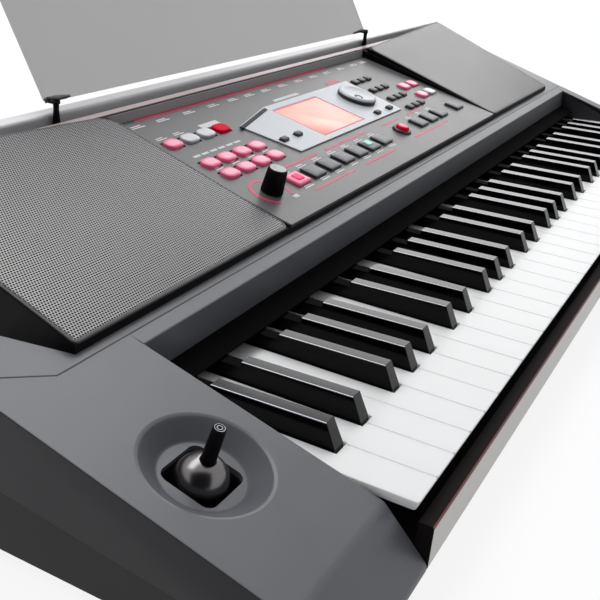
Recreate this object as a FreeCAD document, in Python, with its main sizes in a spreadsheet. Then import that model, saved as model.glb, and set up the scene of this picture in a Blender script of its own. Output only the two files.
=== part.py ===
import FreeCAD, Part
import math
import os
import Sketcher

doc = FreeCAD.newDocument("arranger_keyboard")

# Driving dimensions, in millimetres and degrees
driving = [
    # Case
    ("case_width", 956),
    ("case_depth", 356),
    ("foot_height", 6),
    ("foot_radius", 9),
    ("foot_inset", 45),
    ("screw_radius", 3.5),
    ("screw_head", 1.5),
    ("screw_inset", 90),
    ("wall", 3),
    ("skin", 3.2),
    ("undercut_depth", 28),
    ("front_wall", 7),
    ("chin_height", 17.5),
    ("nose_setback", 14),
    ("parting_height", 39.6),
    ("parting_slope", 7.8),
    ("left_cheek_width", 87.5),
    ("right_cheek_width", 18.5),
    ("corner_width", 36),
    ("corner_depth", 23.4),
    ("cheek_gap", 2),
    ("ledge_depth", 10),
    ("slip_gap", 1),
    ("slip_drop", 8),
    # Sloping top, bar over the keys and back rim
    ("white_top", 46),
    ("well_depth", 148.9),
    ("bar_rise", 32.5),
    ("bar_depth", 9),
    ("bar_lean", 1.4),
    ("bar_clearance", 13.9),
    ("felt_sheet", 2),
    ("felt_reach", 14.5),
    ("felt_gap", 0.7),
    ("deck_slope", 15.27),
    ("strip_lift", 4.36),
    ("strip_depth", 8),
    ("groove_width", 7),
    ("groove_depth", 8.3),
    ("rim_lift", 4.7),
    ("rim_depth", 12),
    ("rim_round", 4),
    # Raised module: grilles, panel and frame
    ("module_gap", 5.1),
    ("module_lift", 5.6),
    ("panel_width", 432),
    ("panel_slope", 12.4),
    ("panel_thickness", 2.6),
    ("panel_fit", 0.3),
    ("frame_wall", 2),
    ("frame_depth", 8),
    ("frame_ledge", 5),
    ("wing_width", 54),
    ("grille_setback", 6),
    ("grille_slope_inner", 16.6),
    ("grille_slope_outer", 20.2),
    ("grille_thickness", 1.4),
    ("housing_wall", 4),
    ("flare_knee", 29),
    ("flare_knee_reach", 18),
    ("flare_end_reach", 42),
    # Speakers
    ("speaker_margin", 17),
    ("flange_width", 12),
    ("speaker_sheet", 3),
    ("basket_depth", 28),
    ("magnet_depth", 12),
    ("cone_sheet", 1.6),
    ("cone_edge", 0.8),
    ("cone_depth", 20),
    ("cap_depth", 5),
    # Keys
    ("white_pitch", 23.5),
    ("white_gap", 1),
    ("white_head", 47),
    ("white_lip", 5),
    ("white_height", 12),
    ("lip_setback", 5),
    ("pivot_over", 42.1),
    ("tail_over", 10),
    ("black_width", 9.5),
    ("black_side_gap", 1),
    ("black_setback", 48),
    ("black_lean", 6.5),
    ("black_rise", 13.2),
    ("black_cap_gap", 28.7),
    ("black_cap_drop", 1.7),
    ("black_tail_rise", 8),
    ("black_chin", 6),
    # Keybed under the keys
    ("keybed_plate", 2),
    ("keybed_front", 28),
    ("keybed_over", 23),
    ("fulcrum_half", 5),
    ("platform_gap", 12),
    ("platform_depth", 60),
    ("platform_height", 17),
    ("board", 1.6),
    ("contact_rise", 3),
    ("contact_inset", 12),
    # Control panel pieces
    ("button_fit", 0.35),
    ("button_flange", 1.2),
    ("button_flange_sheet", 1.4),
    ("button_rise", 2.2),
    ("pad_gap", 4.8),
    ("pad_row_gap", 5.5),
    ("row_gap", 7),
    ("row_depth", 15),
    ("start_radius", 8.5),
    ("keypad_gap", 4),
    ("keypad_depth", 7),
    ("menu_width", 9),
    ("menu_depth", 5),
    ("bezel_sheet", 1.2),
    ("glass_sheet", 0.9),
    ("dial_gap", 8.6),
    ("dial_rise", 5),
    ("knob_radius", 8),
    ("knob_top_radius", 6.8),
    ("knob_rise", 18),
    ("shaft_radius", 3),
    ("shaft_fit", 0.05),
    ("shaft_reach", 5),
    ("turn_gap", 0.3),
    ("panel_board_drop", 7.4),
    ("post_half", 2.5),
    ("post_inset", 11),
    # Joystick
    ("stick_x", 44),
    ("stick_setback", 81.9),
    ("dish_radius", 30.5),
    ("dish_floor_radius", 20.8),
    ("dish_depth", 7.5),
    ("dish_sheet", 2),
    ("dish_flange", 2.5),
    ("dish_hole", 26),
    ("ball_radius", 11.5),
    ("ball_sheet", 1.7),
    ("ball_depth", 11),
    ("ball_skirt", 2),
    ("stick_rise", 19),
    ("stick_base_radius", 3.8),
    ("stick_top_radius", 3.1),
    ("cross_half", 2.5),
    ("cross_pin", 1.5),
    ("cross_pin_fit", 0.05),
    ("fork_inner", 4.5),
    ("fork_outer", 7),
    ("fork_half", 3),
    ("fork_top", 2.5),
    ("lug_inner", 5.2),
    ("lug_outer", 10.5),
    ("cross_reach", 8),
    ("lug_half", 2.4),
    ("lug_rise", 3),
    ("base_drop", 27),
    ("base_half", 17),
    ("base_leg", 3),
    # Music stand
    ("stand_width", 506),
    ("stand_height", 190),
    ("stand_sheet", 3),
    ("stand_lean", 30),
    ("stand_clearance", 8.8),
    ("peg_inset", 5),
    ("peg_radius", 2.8),
    ("peg_shoulder", 3.2),
    ("peg_fit", 0.1),
    ("peg_depth", 8),
    ("peg_block_half", 5),
    ("peg_block_rise", 6),
    ("peg_block_over", 6),
    # Boards and sockets at the back
    ("jack_height", 35),
    ("jack_x", 60),
    ("jack_pitch", 26),
    ("jack_width", 16),
    ("jack_depth", 30),
    ("jack_nose", 4.6),
    ("jack_bore", 3.2),
    ("inlet_inset", 228),
    ("inlet_bore", 2.8),
    ("power_inset", 178),
    ("power_radius", 5),
    ("power_rise", 3),
    ("power_reach", 9),
    ("jack_board_margin", 6),
    ("main_board_width", 200),
    ("main_board_gap", 9),
    ("main_board_back", 39),
    ("main_board_lift", 5),
    ("chip_half", 12),
    ("chip_rise", 3),
]

# Counts
notes_in_octave = 7
pad_count = 4
row_count = 7
side_count = 3
single_count = 1
pair_count = 2
keypad_count = 3
keypad_row_count = 4
jack_count = 3

# Left edges of the black keys, as shares of an octave
black_shares = {"c_sharp": 0.0863, "d_sharp": 0.2663, "f_sharp": 0.5125, "g_sharp": 0.677, "a_sharp": 0.843}
# Places across the panel, as shares of its width from the middle, and steps from one button to the next
across_shares = {
    "pad": -0.4398, "pad_step": 0.0481,
    "row": -0.345, "row_step": 0.0579,
    "side": 0.2002, "side_step": 0.0602, "side_end": 0.4248,
    "start": 0.1072, "knob": -0.4294, "dial": 0.1711,
    "keypad": 0.2755, "keypad_step": 0.0324,
    "patch": 0.4016, "patch_step": 0.0475,
    "menu": 0.1377, "menu_step": 0.0625,
    "page": -0.2197, "page_step": 0.0521,
    "bezel_left": -0.2516, "bezel_front_left": -0.2303, "bezel_corner": -0.1157,
    "bezel_front_right": 0.2315, "bezel_right": 0.2523,
    "glass_left": -0.1111, "glass_right": 0.0694,
    "post_middle": 0.0463,
}
# Places up the panel, as shares of its run from the front edge
along_shares = {
    "row": 0.2135, "pad_front": 0.4126, "pad_back": 0.519, "corner": 0.7244, "page": 0.484,
    "keypad": 0.3587, "keypad_step": 0.1283, "patch": 0.4188, "patch_step": 0.1308,
    "bezel_front": 0.3656, "bezel_corner": 0.6931, "bezel_back": 0.7795,
    "glass_front": 0.4038, "glass_back": 0.7306, "dial": 0.5979,
    "post_middle": 0.8765, "post_back": 0.9078,
}
# Radii inside a speaker, as shares of its hole
magnet_share = 0.54
throat_share = 0.3

sheet = doc.addObject("Spreadsheet::Sheet", "Sizes")
for row, (alias, value) in enumerate(driving, 1):
    sheet.set("A%d" % row, alias)
    sheet.set("B%d" % row, str(value))
    sheet.setAlias("B%d" % row, alias)
doc.recompute()


# A size keeps its number and the expression that binds it to the sheet
class Size:
    def __init__(self, text, number):
        self.text = text
        self.number = number

    def __add__(self, other):
        return Size("(%s + %s)" % (self.text, text_of(other)), self.number + number_of(other))

    def __sub__(self, other):
        return Size("(%s - %s)" % (self.text, text_of(other)), self.number - number_of(other))

    def __mul__(self, other):
        return Size("(%s * %s)" % (self.text, text_of(other)), self.number * number_of(other))

    def __truediv__(self, other):
        return Size("(%s / %s)" % (self.text, text_of(other)), self.number / number_of(other))

    def __rsub__(self, other):
        return Size("(%s - %s)" % (text_of(other), self.text), number_of(other) - self.number)

    def __neg__(self):
        return Size("(-1 * %s)" % self.text, -self.number)


def text_of(value):
    return value.text if isinstance(value, Size) else str(value)


def number_of(value):
    return value.number if isinstance(value, Size) else value


def tangent(angle):
    return Size("tan(%s * 1 deg)" % angle.text, math.tan(math.radians(angle.number)))


def cosine(angle):
    return Size("cos(%s * 1 deg)" % angle.text, math.cos(math.radians(angle.number)))


class Dimensions:
    pass


d = Dimensions()
for alias, value in driving:
    setattr(d, alias, Size("Sizes." + alias, sheet.get(alias)))

nodes = []


# Body, sketch and feature helpers
def placing(x, y, z, tilt=0):
    words = (text_of(x), text_of(y), text_of(z), text_of(tilt))
    return "placement(vector(%s; %s; %s); rotation(vector(1; 0; 0); %s))" % words


def new_body(label, placement=None):
    body = doc.addObject("PartDesign::Body", label)
    body.Label = label
    if placement:
        body.setExpression("Placement", placement)
    nodes.append(body)
    return body


def new_sketch(body, plane, offset=0, placement=None):
    sketch = body.newObject("Sketcher::SketchObject", body.Label + "_sketch")
    roles = {feature.Role: feature for feature in body.Origin.OriginFeatures}
    sketch.AttachmentSupport = [(roles[plane + "_Plane"], "")]
    sketch.MapMode = "FlatFace"
    if placement:
        sketch.setExpression("AttachmentOffset", placement)
    else:
        sketch.setExpression("AttachmentOffset.Base.z", text_of(offset))
    return sketch


def hold(sketch, kind, places, value):
    index = sketch.addConstraint(Sketcher.Constraint(kind, *places, number_of(value)))
    if isinstance(value, Size):
        sketch.setExpression("Constraints[%d]" % index, value.text)


def outline(sketch, points):
    first = sketch.GeometryCount
    count = len(points)
    spots = [FreeCAD.Vector(number_of(x), number_of(y), 0) for x, y in points]
    for i in range(count):
        sketch.addGeometry(Part.LineSegment(spots[i], spots[(i + 1) % count]))
    for i in range(count):
        sketch.addConstraint(Sketcher.Constraint("Coincident", first + i, 2, first + (i + 1) % count, 1))
    for i, (x, y) in enumerate(points):
        hold(sketch, "DistanceX", (-1, 1, first + i, 1), x)
        hold(sketch, "DistanceY", (-1, 1, first + i, 1), y)


def rectangle(sketch, left, right, low, high):
    outline(sketch, [(left, low), (right, low), (right, high), (left, high)])


def ring(sketch, x, y, radius):
    spot = FreeCAD.Vector(number_of(x), number_of(y), 0)
    edge = sketch.addGeometry(Part.Circle(spot, FreeCAD.Vector(0, 0, 1), number_of(radius)))
    hold(sketch, "Radius", (edge,), radius)
    hold(sketch, "DistanceX", (-1, 1, edge, 3), x)
    hold(sketch, "DistanceY", (-1, 1, edge, 3), y)


def pad(body, sketch, length):
    feature = body.newObject("PartDesign::Pad", body.Label + "_pad")
    feature.Profile = sketch
    feature.setExpression("Length", text_of(length))
    return feature


# A cut runs the same way as a pad: from the sketch along its normal, or back from it
def cut(body, sketch, length, backward=False):
    doc.recompute()
    before = body.Shape.Volume
    feature = body.newObject("PartDesign::Pocket", body.Label + "_cut")
    feature.Profile = sketch
    feature.setExpression("Length", text_of(length))
    feature.Reversed = not backward
    doc.recompute()
    if body.Shape.Volume >= before:
        raise RuntimeError("a cut in %s removes nothing" % body.Label)
    return feature


def repeat(body, features, sketch, axis, pitch, count):
    feature = body.newObject("PartDesign::LinearPattern", body.Label + "_pattern")
    feature.Originals = features
    feature.Direction = (sketch, [axis])
    feature.setExpression("Length", text_of(pitch * (count - 1)))
    feature.Occurrences = count
    body.Tip = feature


def extrude(label, points, start, length):
    body = new_body(label)
    sketch = new_sketch(body, "YZ", start)
    outline(sketch, points)
    pad(body, sketch, length)
    return body


def cut_across(body, points, start, length):
    sketch = new_sketch(body, "YZ", start)
    outline(sketch, points)
    cut(body, sketch, length)


def turned(label, points, placement):
    body = new_body(label, placement)
    sketch = new_sketch(body, "XZ")
    outline(sketch, points)
    feature = body.newObject("PartDesign::Revolution", label + "_turn")
    feature.Profile = sketch
    feature.ReferenceAxis = (sketch, ["V_Axis"])
    feature.Angle = 360
    return body


def block(body, left, right, front_side, back_side, low, high):
    sketch = new_sketch(body, "XY", low)
    rectangle(sketch, left, right, front_side, back_side)
    return pad(body, sketch, high - low)


# Main lines of the object
half_width = d.case_width / 2
front = -d.case_depth / 2
back = d.case_depth / 2
floor_top = d.foot_height + d.wall
key_front = front + d.ledge_depth
well_left = d.left_cheek_width - half_width
keys_left = well_left + d.cheek_gap
well_right = half_width - d.right_cheek_width
well_length = well_right - well_left
keys_length = well_length - d.cheek_gap * 2

# Whole octaves that fill the well at about the wanted pitch, and one more key
octave_count = round((keys_length.number / d.white_pitch.number - 1) / notes_in_octave)
white_count = octave_count * notes_in_octave + 1
key_pitch = keys_length / white_count
octave = key_pitch * notes_in_octave

bend_y = key_front + d.well_depth
bend_z = d.white_top + d.bar_rise
seam_y = bend_y + d.bar_depth
module_y = seam_y + d.module_gap
rim_y = back - d.rim_depth
groove_y = rim_y - d.groove_width
panel_end = groove_y - d.strip_depth


def deck_z(y):
    return bend_z + (y - bend_y) * tangent(d.deck_slope)


def parting_z(y):
    return d.parting_height + y * tangent(d.parting_slope)


module_z = deck_z(module_y) + d.module_lift
strip_z = deck_z(panel_end) + d.strip_lift
groove_z = strip_z - d.groove_depth
rim_z = strip_z + d.rim_lift
inlet_x = half_width - d.inlet_inset
power_x = half_width - d.power_inset


def panel_z(y):
    return module_z + (y - module_y) * tangent(d.panel_slope)


# Lower case: an open tray with an undercut front and round holes in its back wall
def make_lower_case():
    toe = front + d.undercut_depth
    lip_fall = (parting_z(front) - d.foot_height) * d.front_wall / d.undercut_depth
    inner_lip = parting_z(front) - lip_fall + d.wall
    body = extrude("lower_case", [
        (front, parting_z(front)),
        (toe, d.foot_height),
        (back, d.foot_height),
        (back, parting_z(back)),
    ], -half_width, d.case_width)
    cut_across(body, [
        (front + d.front_wall, rim_z),
        (front + d.front_wall, inner_lip),
        (toe, floor_top),
        (back - d.wall, floor_top),
        (back - d.wall, rim_z),
    ], d.wall - half_width, d.case_width - d.wall * 2)
    holes = new_sketch(body, "XZ", -back)
    for x in jack_places:
        ring(holes, x, d.jack_height, d.jack_nose)
    ring(holes, inlet_x, d.jack_height, d.jack_nose)
    ring(holes, power_x, d.jack_height, d.power_radius + d.shaft_fit)
    cut(body, holes, d.wall * 2)


# Cheeks beside the keys, hollow and open below and behind
def make_cheek(label, start, width, end_y):
    nose_y = key_front + d.nose_setback
    open_y = end_y + d.wall
    body = extrude(label, [
        (front, parting_z(front)),
        (front, d.chin_height),
        (nose_y, deck_z(nose_y)),
        (end_y, deck_z(end_y)),
        (end_y, parting_z(end_y)),
    ], start, width)
    cut_across(body, [
        (front + d.front_wall, d.foot_height),
        (front + d.front_wall, d.chin_height),
        (nose_y + d.wall, deck_z(nose_y) - d.skin),
        (open_y, deck_z(open_y) - d.skin),
        (open_y, d.foot_height),
    ], start + d.wall, width - d.wall * 2)
    return body


stick_x = d.stick_x - half_width
stick_y = key_front + d.stick_setback
stick_frame = placing(stick_x, stick_y, deck_z(stick_y), d.deck_slope)


# The left cheek's back edge turns off at the outer end, and the deck gives way to it
corner_x = d.corner_width - half_width
corner_y = seam_y + d.corner_depth


def make_cheeks():
    left = make_cheek("left_cheek", -half_width, d.left_cheek_width, corner_y)
    behind = new_sketch(left, "XY", 0)
    outline(behind, [
        (-half_width, corner_y),
        (corner_x, seam_y),
        (well_left + d.wall, seam_y),
        (well_left + d.wall, corner_y + d.wall),
        (-half_width, corner_y + d.wall),
    ])
    cut(left, behind, rim_z)
    hole = new_sketch(left, "XY", placement=stick_frame)
    ring(hole, 0, 0, d.dish_radius + d.dish_flange)
    cut(left, hole, d.skin * 2, backward=True)
    make_cheek("right_cheek", well_right, d.right_cheek_width, seam_y)


# Bar over the back of the keys, its dust felt, and the strip in front of the keys
def make_key_trim():
    lip_y = bend_y - d.bar_lean
    lip_z = d.white_top + d.bar_clearance
    extrude("key_bar", [
        (bend_y, bend_z),
        (seam_y, deck_z(seam_y)),
        (seam_y, deck_z(seam_y) - d.skin),
        (bend_y + d.wall, bend_z - d.skin),
        (lip_y + d.wall, lip_z),
        (lip_y, lip_z),
    ], well_left, well_length)
    felt_z = d.white_top + d.black_tail_rise + d.felt_gap
    felt_y = lip_y - d.felt_reach
    extrude("dust_felt", [
        (felt_y, felt_z),
        (felt_y, felt_z + d.felt_sheet / 2),
        (lip_y, lip_z),
        (lip_y + d.wall, lip_z),
        (lip_y + d.wall, lip_z - d.felt_sheet),
    ], well_left, well_length)
    slip_back = key_front - d.slip_gap
    slip_top = d.white_top - d.slip_drop
    extrude("key_slip", [
        (front, parting_z(front)),
        (front, slip_top),
        (slip_back, slip_top),
        (slip_back, parting_z(slip_back)),
    ], well_left, well_length)


frame_half = d.panel_width / 2 + d.frame_wall
grille_reach = half_width - d.wing_width
grille_depth = panel_end - d.grille_setback - module_y
speaker_x = (frame_half + grille_reach) / 2
speaker_y = module_y + grille_depth / 2
speaker_flange = grille_depth / 2 - d.speaker_margin
speaker_hole = speaker_flange - d.flange_width
speaker_frames = {
    "left": placing(-speaker_x, speaker_y, deck_z(speaker_y) - d.skin, d.deck_slope),
    "right": placing(speaker_x, speaker_y, deck_z(speaker_y) - d.skin, d.deck_slope),
}


# Rear deck: sloping top with wings, strip, groove for the stand, rim and back wall
def make_rear_deck():
    body = extrude("rear_deck", [
        (seam_y, parting_z(seam_y)),
        (seam_y, deck_z(seam_y)),
        (panel_end, deck_z(panel_end)),
        (panel_end, strip_z),
        (groove_y, strip_z),
        (groove_y, groove_z),
        (rim_y, groove_z),
        (rim_y, rim_z - d.rim_round),
        (rim_y + d.rim_round, rim_z),
        (back - d.rim_round, rim_z),
        (back, rim_z - d.rim_round),
        (back, parting_z(back)),
    ], -half_width, d.case_width)
    open_y = seam_y - d.wall
    step_y = groove_y - d.wall
    cut_across(body, [
        (open_y, d.foot_height),
        (open_y, deck_z(open_y) - d.skin),
        (step_y, deck_z(step_y) - d.skin),
        (step_y, groove_z - d.wall),
        (back - d.wall, groove_z - d.wall),
        (back - d.wall, d.foot_height),
    ], d.wall - half_width, d.case_width - d.wall * 2)
    corner = new_sketch(body, "XY", 0)
    outline(corner, [
        (-half_width - d.wall, seam_y - d.wall),
        (corner_x, seam_y - d.wall),
        (corner_x, seam_y),
        (-half_width, corner_y),
        (-half_width - d.wall, corner_y),
    ])
    cut(body, corner, rim_z)
    well = new_sketch(body, "XY", 0)
    rectangle(well, -frame_half, frame_half, module_y, panel_end)
    cut(body, well, rim_z)
    for frame in speaker_frames.values():
        hole = new_sketch(body, "XY", placement=frame)
        ring(hole, 0, 0, speaker_hole)
        cut(body, hole, d.skin * 2)
    sockets = new_sketch(body, "XY", groove_z - d.wall * 2)
    for x in (-peg_x, peg_x):
        ring(sockets, x, peg_y, d.peg_radius + d.peg_fit)
    cut(body, sockets, d.wall * 2)


# Frame that lines the panel's well and carries the panel on a ledge
def make_panel_frame():
    def plate_z(y):
        return panel_z(y) - d.panel_thickness / cosine(d.panel_slope)

    inner_end = panel_end - d.frame_wall
    before = module_y - d.wall
    body = extrude("panel_frame", [
        (module_y, panel_z(module_y) - d.frame_depth),
        (module_y, module_z),
        (panel_end, strip_z),
        (panel_end, panel_z(panel_end) - d.frame_depth),
    ], -frame_half, frame_half * 2)
    cut_across(body, [
        (before, plate_z(before)),
        (inner_end, plate_z(inner_end)),
        (inner_end, rim_z),
        (before, rim_z),
    ], d.frame_wall - frame_half, d.panel_width)
    ledge_half = d.panel_width / 2 - d.frame_ledge
    middle = new_sketch(body, "XY", 0)
    rectangle(middle, -ledge_half, ledge_half, module_y + d.frame_ledge, inner_end - d.frame_ledge)
    cut(body, middle, rim_z)


# Grille housings and grilles: their tops rise faster at the outer edge than beside the panel
def grille_top(y, slope):
    return module_z + (y - module_y) * tangent(slope)


def loft(body, kind, sections):
    sketches = []
    for y, points in sections:
        sketch = new_sketch(body, "XZ", -y)
        outline(sketch, points)
        sketches.append(sketch)
    feature = body.newObject("PartDesign::" + kind, body.Label + "_loft")
    feature.Profile = sketches[0]
    feature.Sections = sketches[1:]
    feature.Ruled = True
    return feature


def make_grille(side, sign):
    inner_x = frame_half * sign
    outer_x = grille_reach * sign
    end_y = module_y + grille_depth
    knee_y = module_y + d.flare_knee
    sheet_z = d.grille_thickness

    def housing_section(y, flare):
        return y, [
            (inner_x, deck_z(y)),
            (outer_x + flare * sign, deck_z(y)),
            (outer_x, grille_top(y, d.grille_slope_outer) - sheet_z),
            (inner_x, grille_top(y, d.grille_slope_inner) - sheet_z),
        ]

    def hollow_section(y):
        return y, [
            (inner_x + d.housing_wall * sign, deck_z(y) - d.wall),
            (outer_x - d.housing_wall * sign, deck_z(y) - d.wall),
            (outer_x - d.housing_wall * sign, grille_top(y, d.grille_slope_outer) + d.wall),
            (inner_x + d.housing_wall * sign, grille_top(y, d.grille_slope_inner) + d.wall),
        ]

    def sheet_section(y):
        return y, [
            (inner_x, grille_top(y, d.grille_slope_inner) - sheet_z),
            (outer_x, grille_top(y, d.grille_slope_outer) - sheet_z),
            (outer_x, grille_top(y, d.grille_slope_outer)),
            (inner_x, grille_top(y, d.grille_slope_inner)),
        ]

    housing = new_body("grille_housing_" + side)
    loft(housing, "AdditiveLoft", [
        housing_section(module_y, d.panel_fit),
        housing_section(knee_y, d.flare_knee_reach),
        housing_section(end_y, d.flare_end_reach),
    ])
    doc.recompute()
    loft(housing, "SubtractiveLoft", [
        hollow_section(module_y + d.housing_wall),
        hollow_section(end_y - d.housing_wall),
    ])
    loft(new_body("grille_" + side), "AdditiveLoft", [sheet_section(module_y), sheet_section(end_y)])


# Speakers hang under the deck, square to it
def make_speaker(side):
    frame = speaker_frames[side]
    seat = d.speaker_sheet
    throat_z = -d.basket_depth
    magnet_z = throat_z - d.magnet_depth
    magnet_radius = speaker_hole * magnet_share
    well_r = magnet_radius - seat
    turned("speaker_basket_" + side, [
        (speaker_hole, 0),
        (speaker_flange, 0),
        (speaker_flange, -seat),
        (speaker_hole + seat, -seat),
        (magnet_radius, throat_z),
        (magnet_radius, magnet_z),
        (0, magnet_z),
        (0, throat_z - seat),
        (well_r, throat_z - seat),
        (well_r, throat_z),
        (speaker_hole, -seat),
    ], frame)
    edge = d.cone_sheet
    throat = speaker_hole * throat_share
    turned("speaker_cone_" + side, [
        (speaker_hole, -edge),
        (speaker_hole, -edge - d.cone_edge),
        (throat, -d.cone_depth - edge),
        (0, d.cap_depth - d.cone_depth - edge),
        (0, d.cap_depth - d.cone_depth),
        (throat, -d.cone_depth),
    ], frame)


# White keys of one note name, repeated by octaves; the pivot line is at their underside
pivot_y = seam_y + d.pivot_over
key_end = pivot_y + d.tail_over
key_bottom = d.white_top - d.white_height
lip_bottom = d.white_top - d.white_lip


def larger(first, second):
    return first if first.number > second.number else second


def smaller(first, second):
    return first if first.number < second.number else second


def white_key(body, left, right, tail_left, tail_right):
    head_end = key_front + d.white_head
    points = [(left, key_front), (right, key_front)]
    if tail_right is not right:
        points += [(right, head_end), (tail_right, head_end)]
    points += [(tail_right, key_end), (tail_left, key_end)]
    if tail_left is not left:
        points += [(tail_left, head_end), (left, head_end)]
    top = new_sketch(body, "XY", lip_bottom)
    outline(top, points)
    plate = pad(body, top, d.white_lip)
    skirt = block(body, larger(left, tail_left), smaller(right, tail_right),
                  key_front + d.lip_setback, key_end, key_bottom, lip_bottom)
    return top, [plate, skirt]


def make_white_keys(note, place, black_before, black_after):
    body = new_body("keys_" + note)
    left = keys_left + key_pitch * place + d.white_gap / 2
    right = left + key_pitch - d.white_gap
    tail_left = left
    tail_right = right
    if black_before:
        tail_left = keys_left + octave * black_shares[black_before] + d.black_width + d.black_side_gap
    if black_after:
        tail_right = keys_left + octave * black_shares[black_after] - d.black_side_gap
    sketch, features = white_key(body, left, right, tail_left, tail_right)
    doc.recompute()
    repeat(body, features, sketch, "H_Axis", octave, octave_count)
    if place == 0:
        top_left = left + octave * octave_count
        top_right = right + octave * octave_count
        white_key(body, top_left, top_right, top_left, top_right)


def make_black_keys(note):
    body = new_body("keys_" + note)
    tip_y = key_front + d.black_setback
    cap_y = bend_y - d.black_cap_gap
    cap_z = d.white_top + d.black_rise - d.black_cap_drop
    tail_z = d.white_top + d.black_tail_rise
    sketch = new_sketch(body, "YZ", keys_left + octave * black_shares[note])
    outline(sketch, [
        (tip_y, d.white_top - d.black_chin),
        (tip_y + d.black_lean, d.white_top + d.black_rise),
        (cap_y, cap_z),
        (cap_y, tail_z),
        (key_end, tail_z),
        (key_end, key_bottom),
        (tip_y + d.black_lean, key_bottom),
    ])
    feature = pad(body, sketch, d.black_width)
    doc.recompute()
    repeat(body, [feature], sketch, "N_Axis", octave, octave_count)


def make_keys():
    neighbours = [
        ("c", None, "c_sharp"),
        ("d", "c_sharp", "d_sharp"),
        ("e", "d_sharp", None),
        ("f", None, "f_sharp"),
        ("g", "f_sharp", "g_sharp"),
        ("a", "g_sharp", "a_sharp"),
        ("b", "a_sharp", None),
    ]
    for place, (note, black_before, black_after) in enumerate(neighbours):
        make_white_keys(note, place, black_before, black_after)
    for note in black_shares:
        make_black_keys(note)


# Keybed with the knife edge that the keys rock on, contact board and rubber contacts
def make_keybed():
    plate_z = floor_top + d.keybed_plate
    low_y = key_front + d.keybed_front
    high_y = pivot_y + d.keybed_over
    desk_end = pivot_y - d.platform_gap
    desk_y = desk_end - d.platform_depth
    desk_z = floor_top + d.platform_height
    extrude("keybed_frame", [
        (low_y, floor_top),
        (high_y, floor_top),
        (high_y, plate_z),
        (pivot_y + d.fulcrum_half, plate_z),
        (pivot_y + d.fulcrum_half, key_bottom - d.fulcrum_half),
        (pivot_y, key_bottom),
        (pivot_y - d.fulcrum_half, key_bottom - d.fulcrum_half),
        (pivot_y - d.fulcrum_half, plate_z),
        (desk_end, plate_z),
        (desk_end, desk_z),
        (desk_y, desk_z),
        (desk_y, plate_z),
        (low_y, plate_z),
    ], keys_left, keys_length)
    board_z = desk_z + d.board
    contacts = new_body("contact_board")
    block(contacts, keys_left, keys_left + keys_length, desk_y, desk_end, desk_z, board_z)
    rubber = new_body("contact_rubber")
    block(rubber, keys_left, keys_left + keys_length,
          desk_y + d.contact_inset, desk_end - d.contact_inset, board_z, board_z + d.contact_rise)


# Control panel: a plate in its own sloping frame, with a hole for every button and shaft
panel_frame_place = placing(0, module_y, module_z, d.panel_slope)
panel_under = -d.panel_thickness
panel_run = (panel_end - module_y) / cosine(d.panel_slope)


def across(name):
    return d.panel_width * across_shares[name]


def along(name):
    return panel_run * along_shares[name]


# Rows of buttons: place across, step, count and place along
def button_row(name, line, count):
    return across(name), across(name + "_step"), count, line


pad_width = across("pad_step") - d.pad_gap
pad_depth = along("pad_back") - along("pad_front") - d.pad_row_gap
row_width = across("row_step") - d.row_gap
keypad_width = across("keypad_step") - d.keypad_gap
keypad_lines = [along("keypad") + along("keypad_step") * i for i in range(keypad_row_count)]
patch_lines = [along("patch") + along("patch_step") * i for i in range(pair_count)]
button_rows = {
    "pad_buttons": [button_row("pad", along(name), pad_count) for name in ("pad_front", "pad_back")],
    "corner_buttons": [button_row("pad", along("corner"), pad_count)],
    "row_buttons": [button_row("row", along("row"), row_count)],
    "side_buttons": [
        button_row("side", along("row"), side_count),
        (across("side_end"), across("side_step"), single_count, along("row")),
    ],
    "keypad_buttons": [button_row("keypad", line, keypad_count) for line in keypad_lines],
    "patch_buttons": [button_row("patch", line, pair_count) for line in patch_lines],
    "menu_buttons": [
        button_row("menu", along("pad_front"), pair_count),
        button_row("page", along("page"), pair_count),
    ],
}
button_sizes = {
    "pad_buttons": (pad_width, pad_depth),
    "corner_buttons": (pad_width, pad_depth),
    "row_buttons": (row_width, d.row_depth),
    "side_buttons": (row_width, d.row_depth),
    "keypad_buttons": (keypad_width, d.keypad_depth),
    "patch_buttons": (pad_width, pad_depth),
    "menu_buttons": (d.menu_width, d.menu_depth),
}


def button_places(name):
    places = []
    for x, step, count, line in button_rows[name]:
        places += [(x + step * i, line) for i in range(count)]
    return places


def button_outlines(sketch, name, margin):
    width, depth = button_sizes[name]
    for x, line in button_places(name):
        rectangle(sketch, x - width / 2 - margin, x + width / 2 + margin,
                  line - depth / 2 - margin, line + depth / 2 + margin)


def make_control_panel():
    body = new_body("control_panel", panel_frame_place)
    slant = d.panel_thickness * tangent(d.panel_slope)
    run = panel_run - d.frame_wall / cosine(d.panel_slope) - slant - d.panel_fit
    half = d.panel_width / 2 - d.panel_fit
    block(body, -half, half, 0, run, panel_under, 0)
    for name in button_rows:
        holes = new_sketch(body, "XY", panel_under - d.wall)
        button_outlines(holes, name, d.button_fit)
        cut(body, holes, d.wall * 2 + d.panel_thickness)
    rounds = new_sketch(body, "XY", panel_under - d.wall)
    ring(rounds, across("start"), along("row"), d.start_radius + d.button_fit)
    ring(rounds, across("knob"), along("row"), d.shaft_radius + d.shaft_fit)
    ring(rounds, across("dial"), along("dial"), d.shaft_radius + d.shaft_fit)
    cut(body, rounds, d.wall * 2 + d.panel_thickness)


# A button group: caps through the panel with flanges that rest against its underside
def make_buttons(name, top):
    body = new_body(name, panel_frame_place)
    flange_low = panel_under - d.button_flange_sheet
    caps = new_sketch(body, "XY", flange_low)
    button_outlines(caps, name, 0)
    pad(body, caps, top - flange_low)
    flanges = new_sketch(body, "XY", flange_low)
    button_outlines(flanges, name, d.button_flange)
    pad(body, flanges, d.button_flange_sheet)


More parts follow.
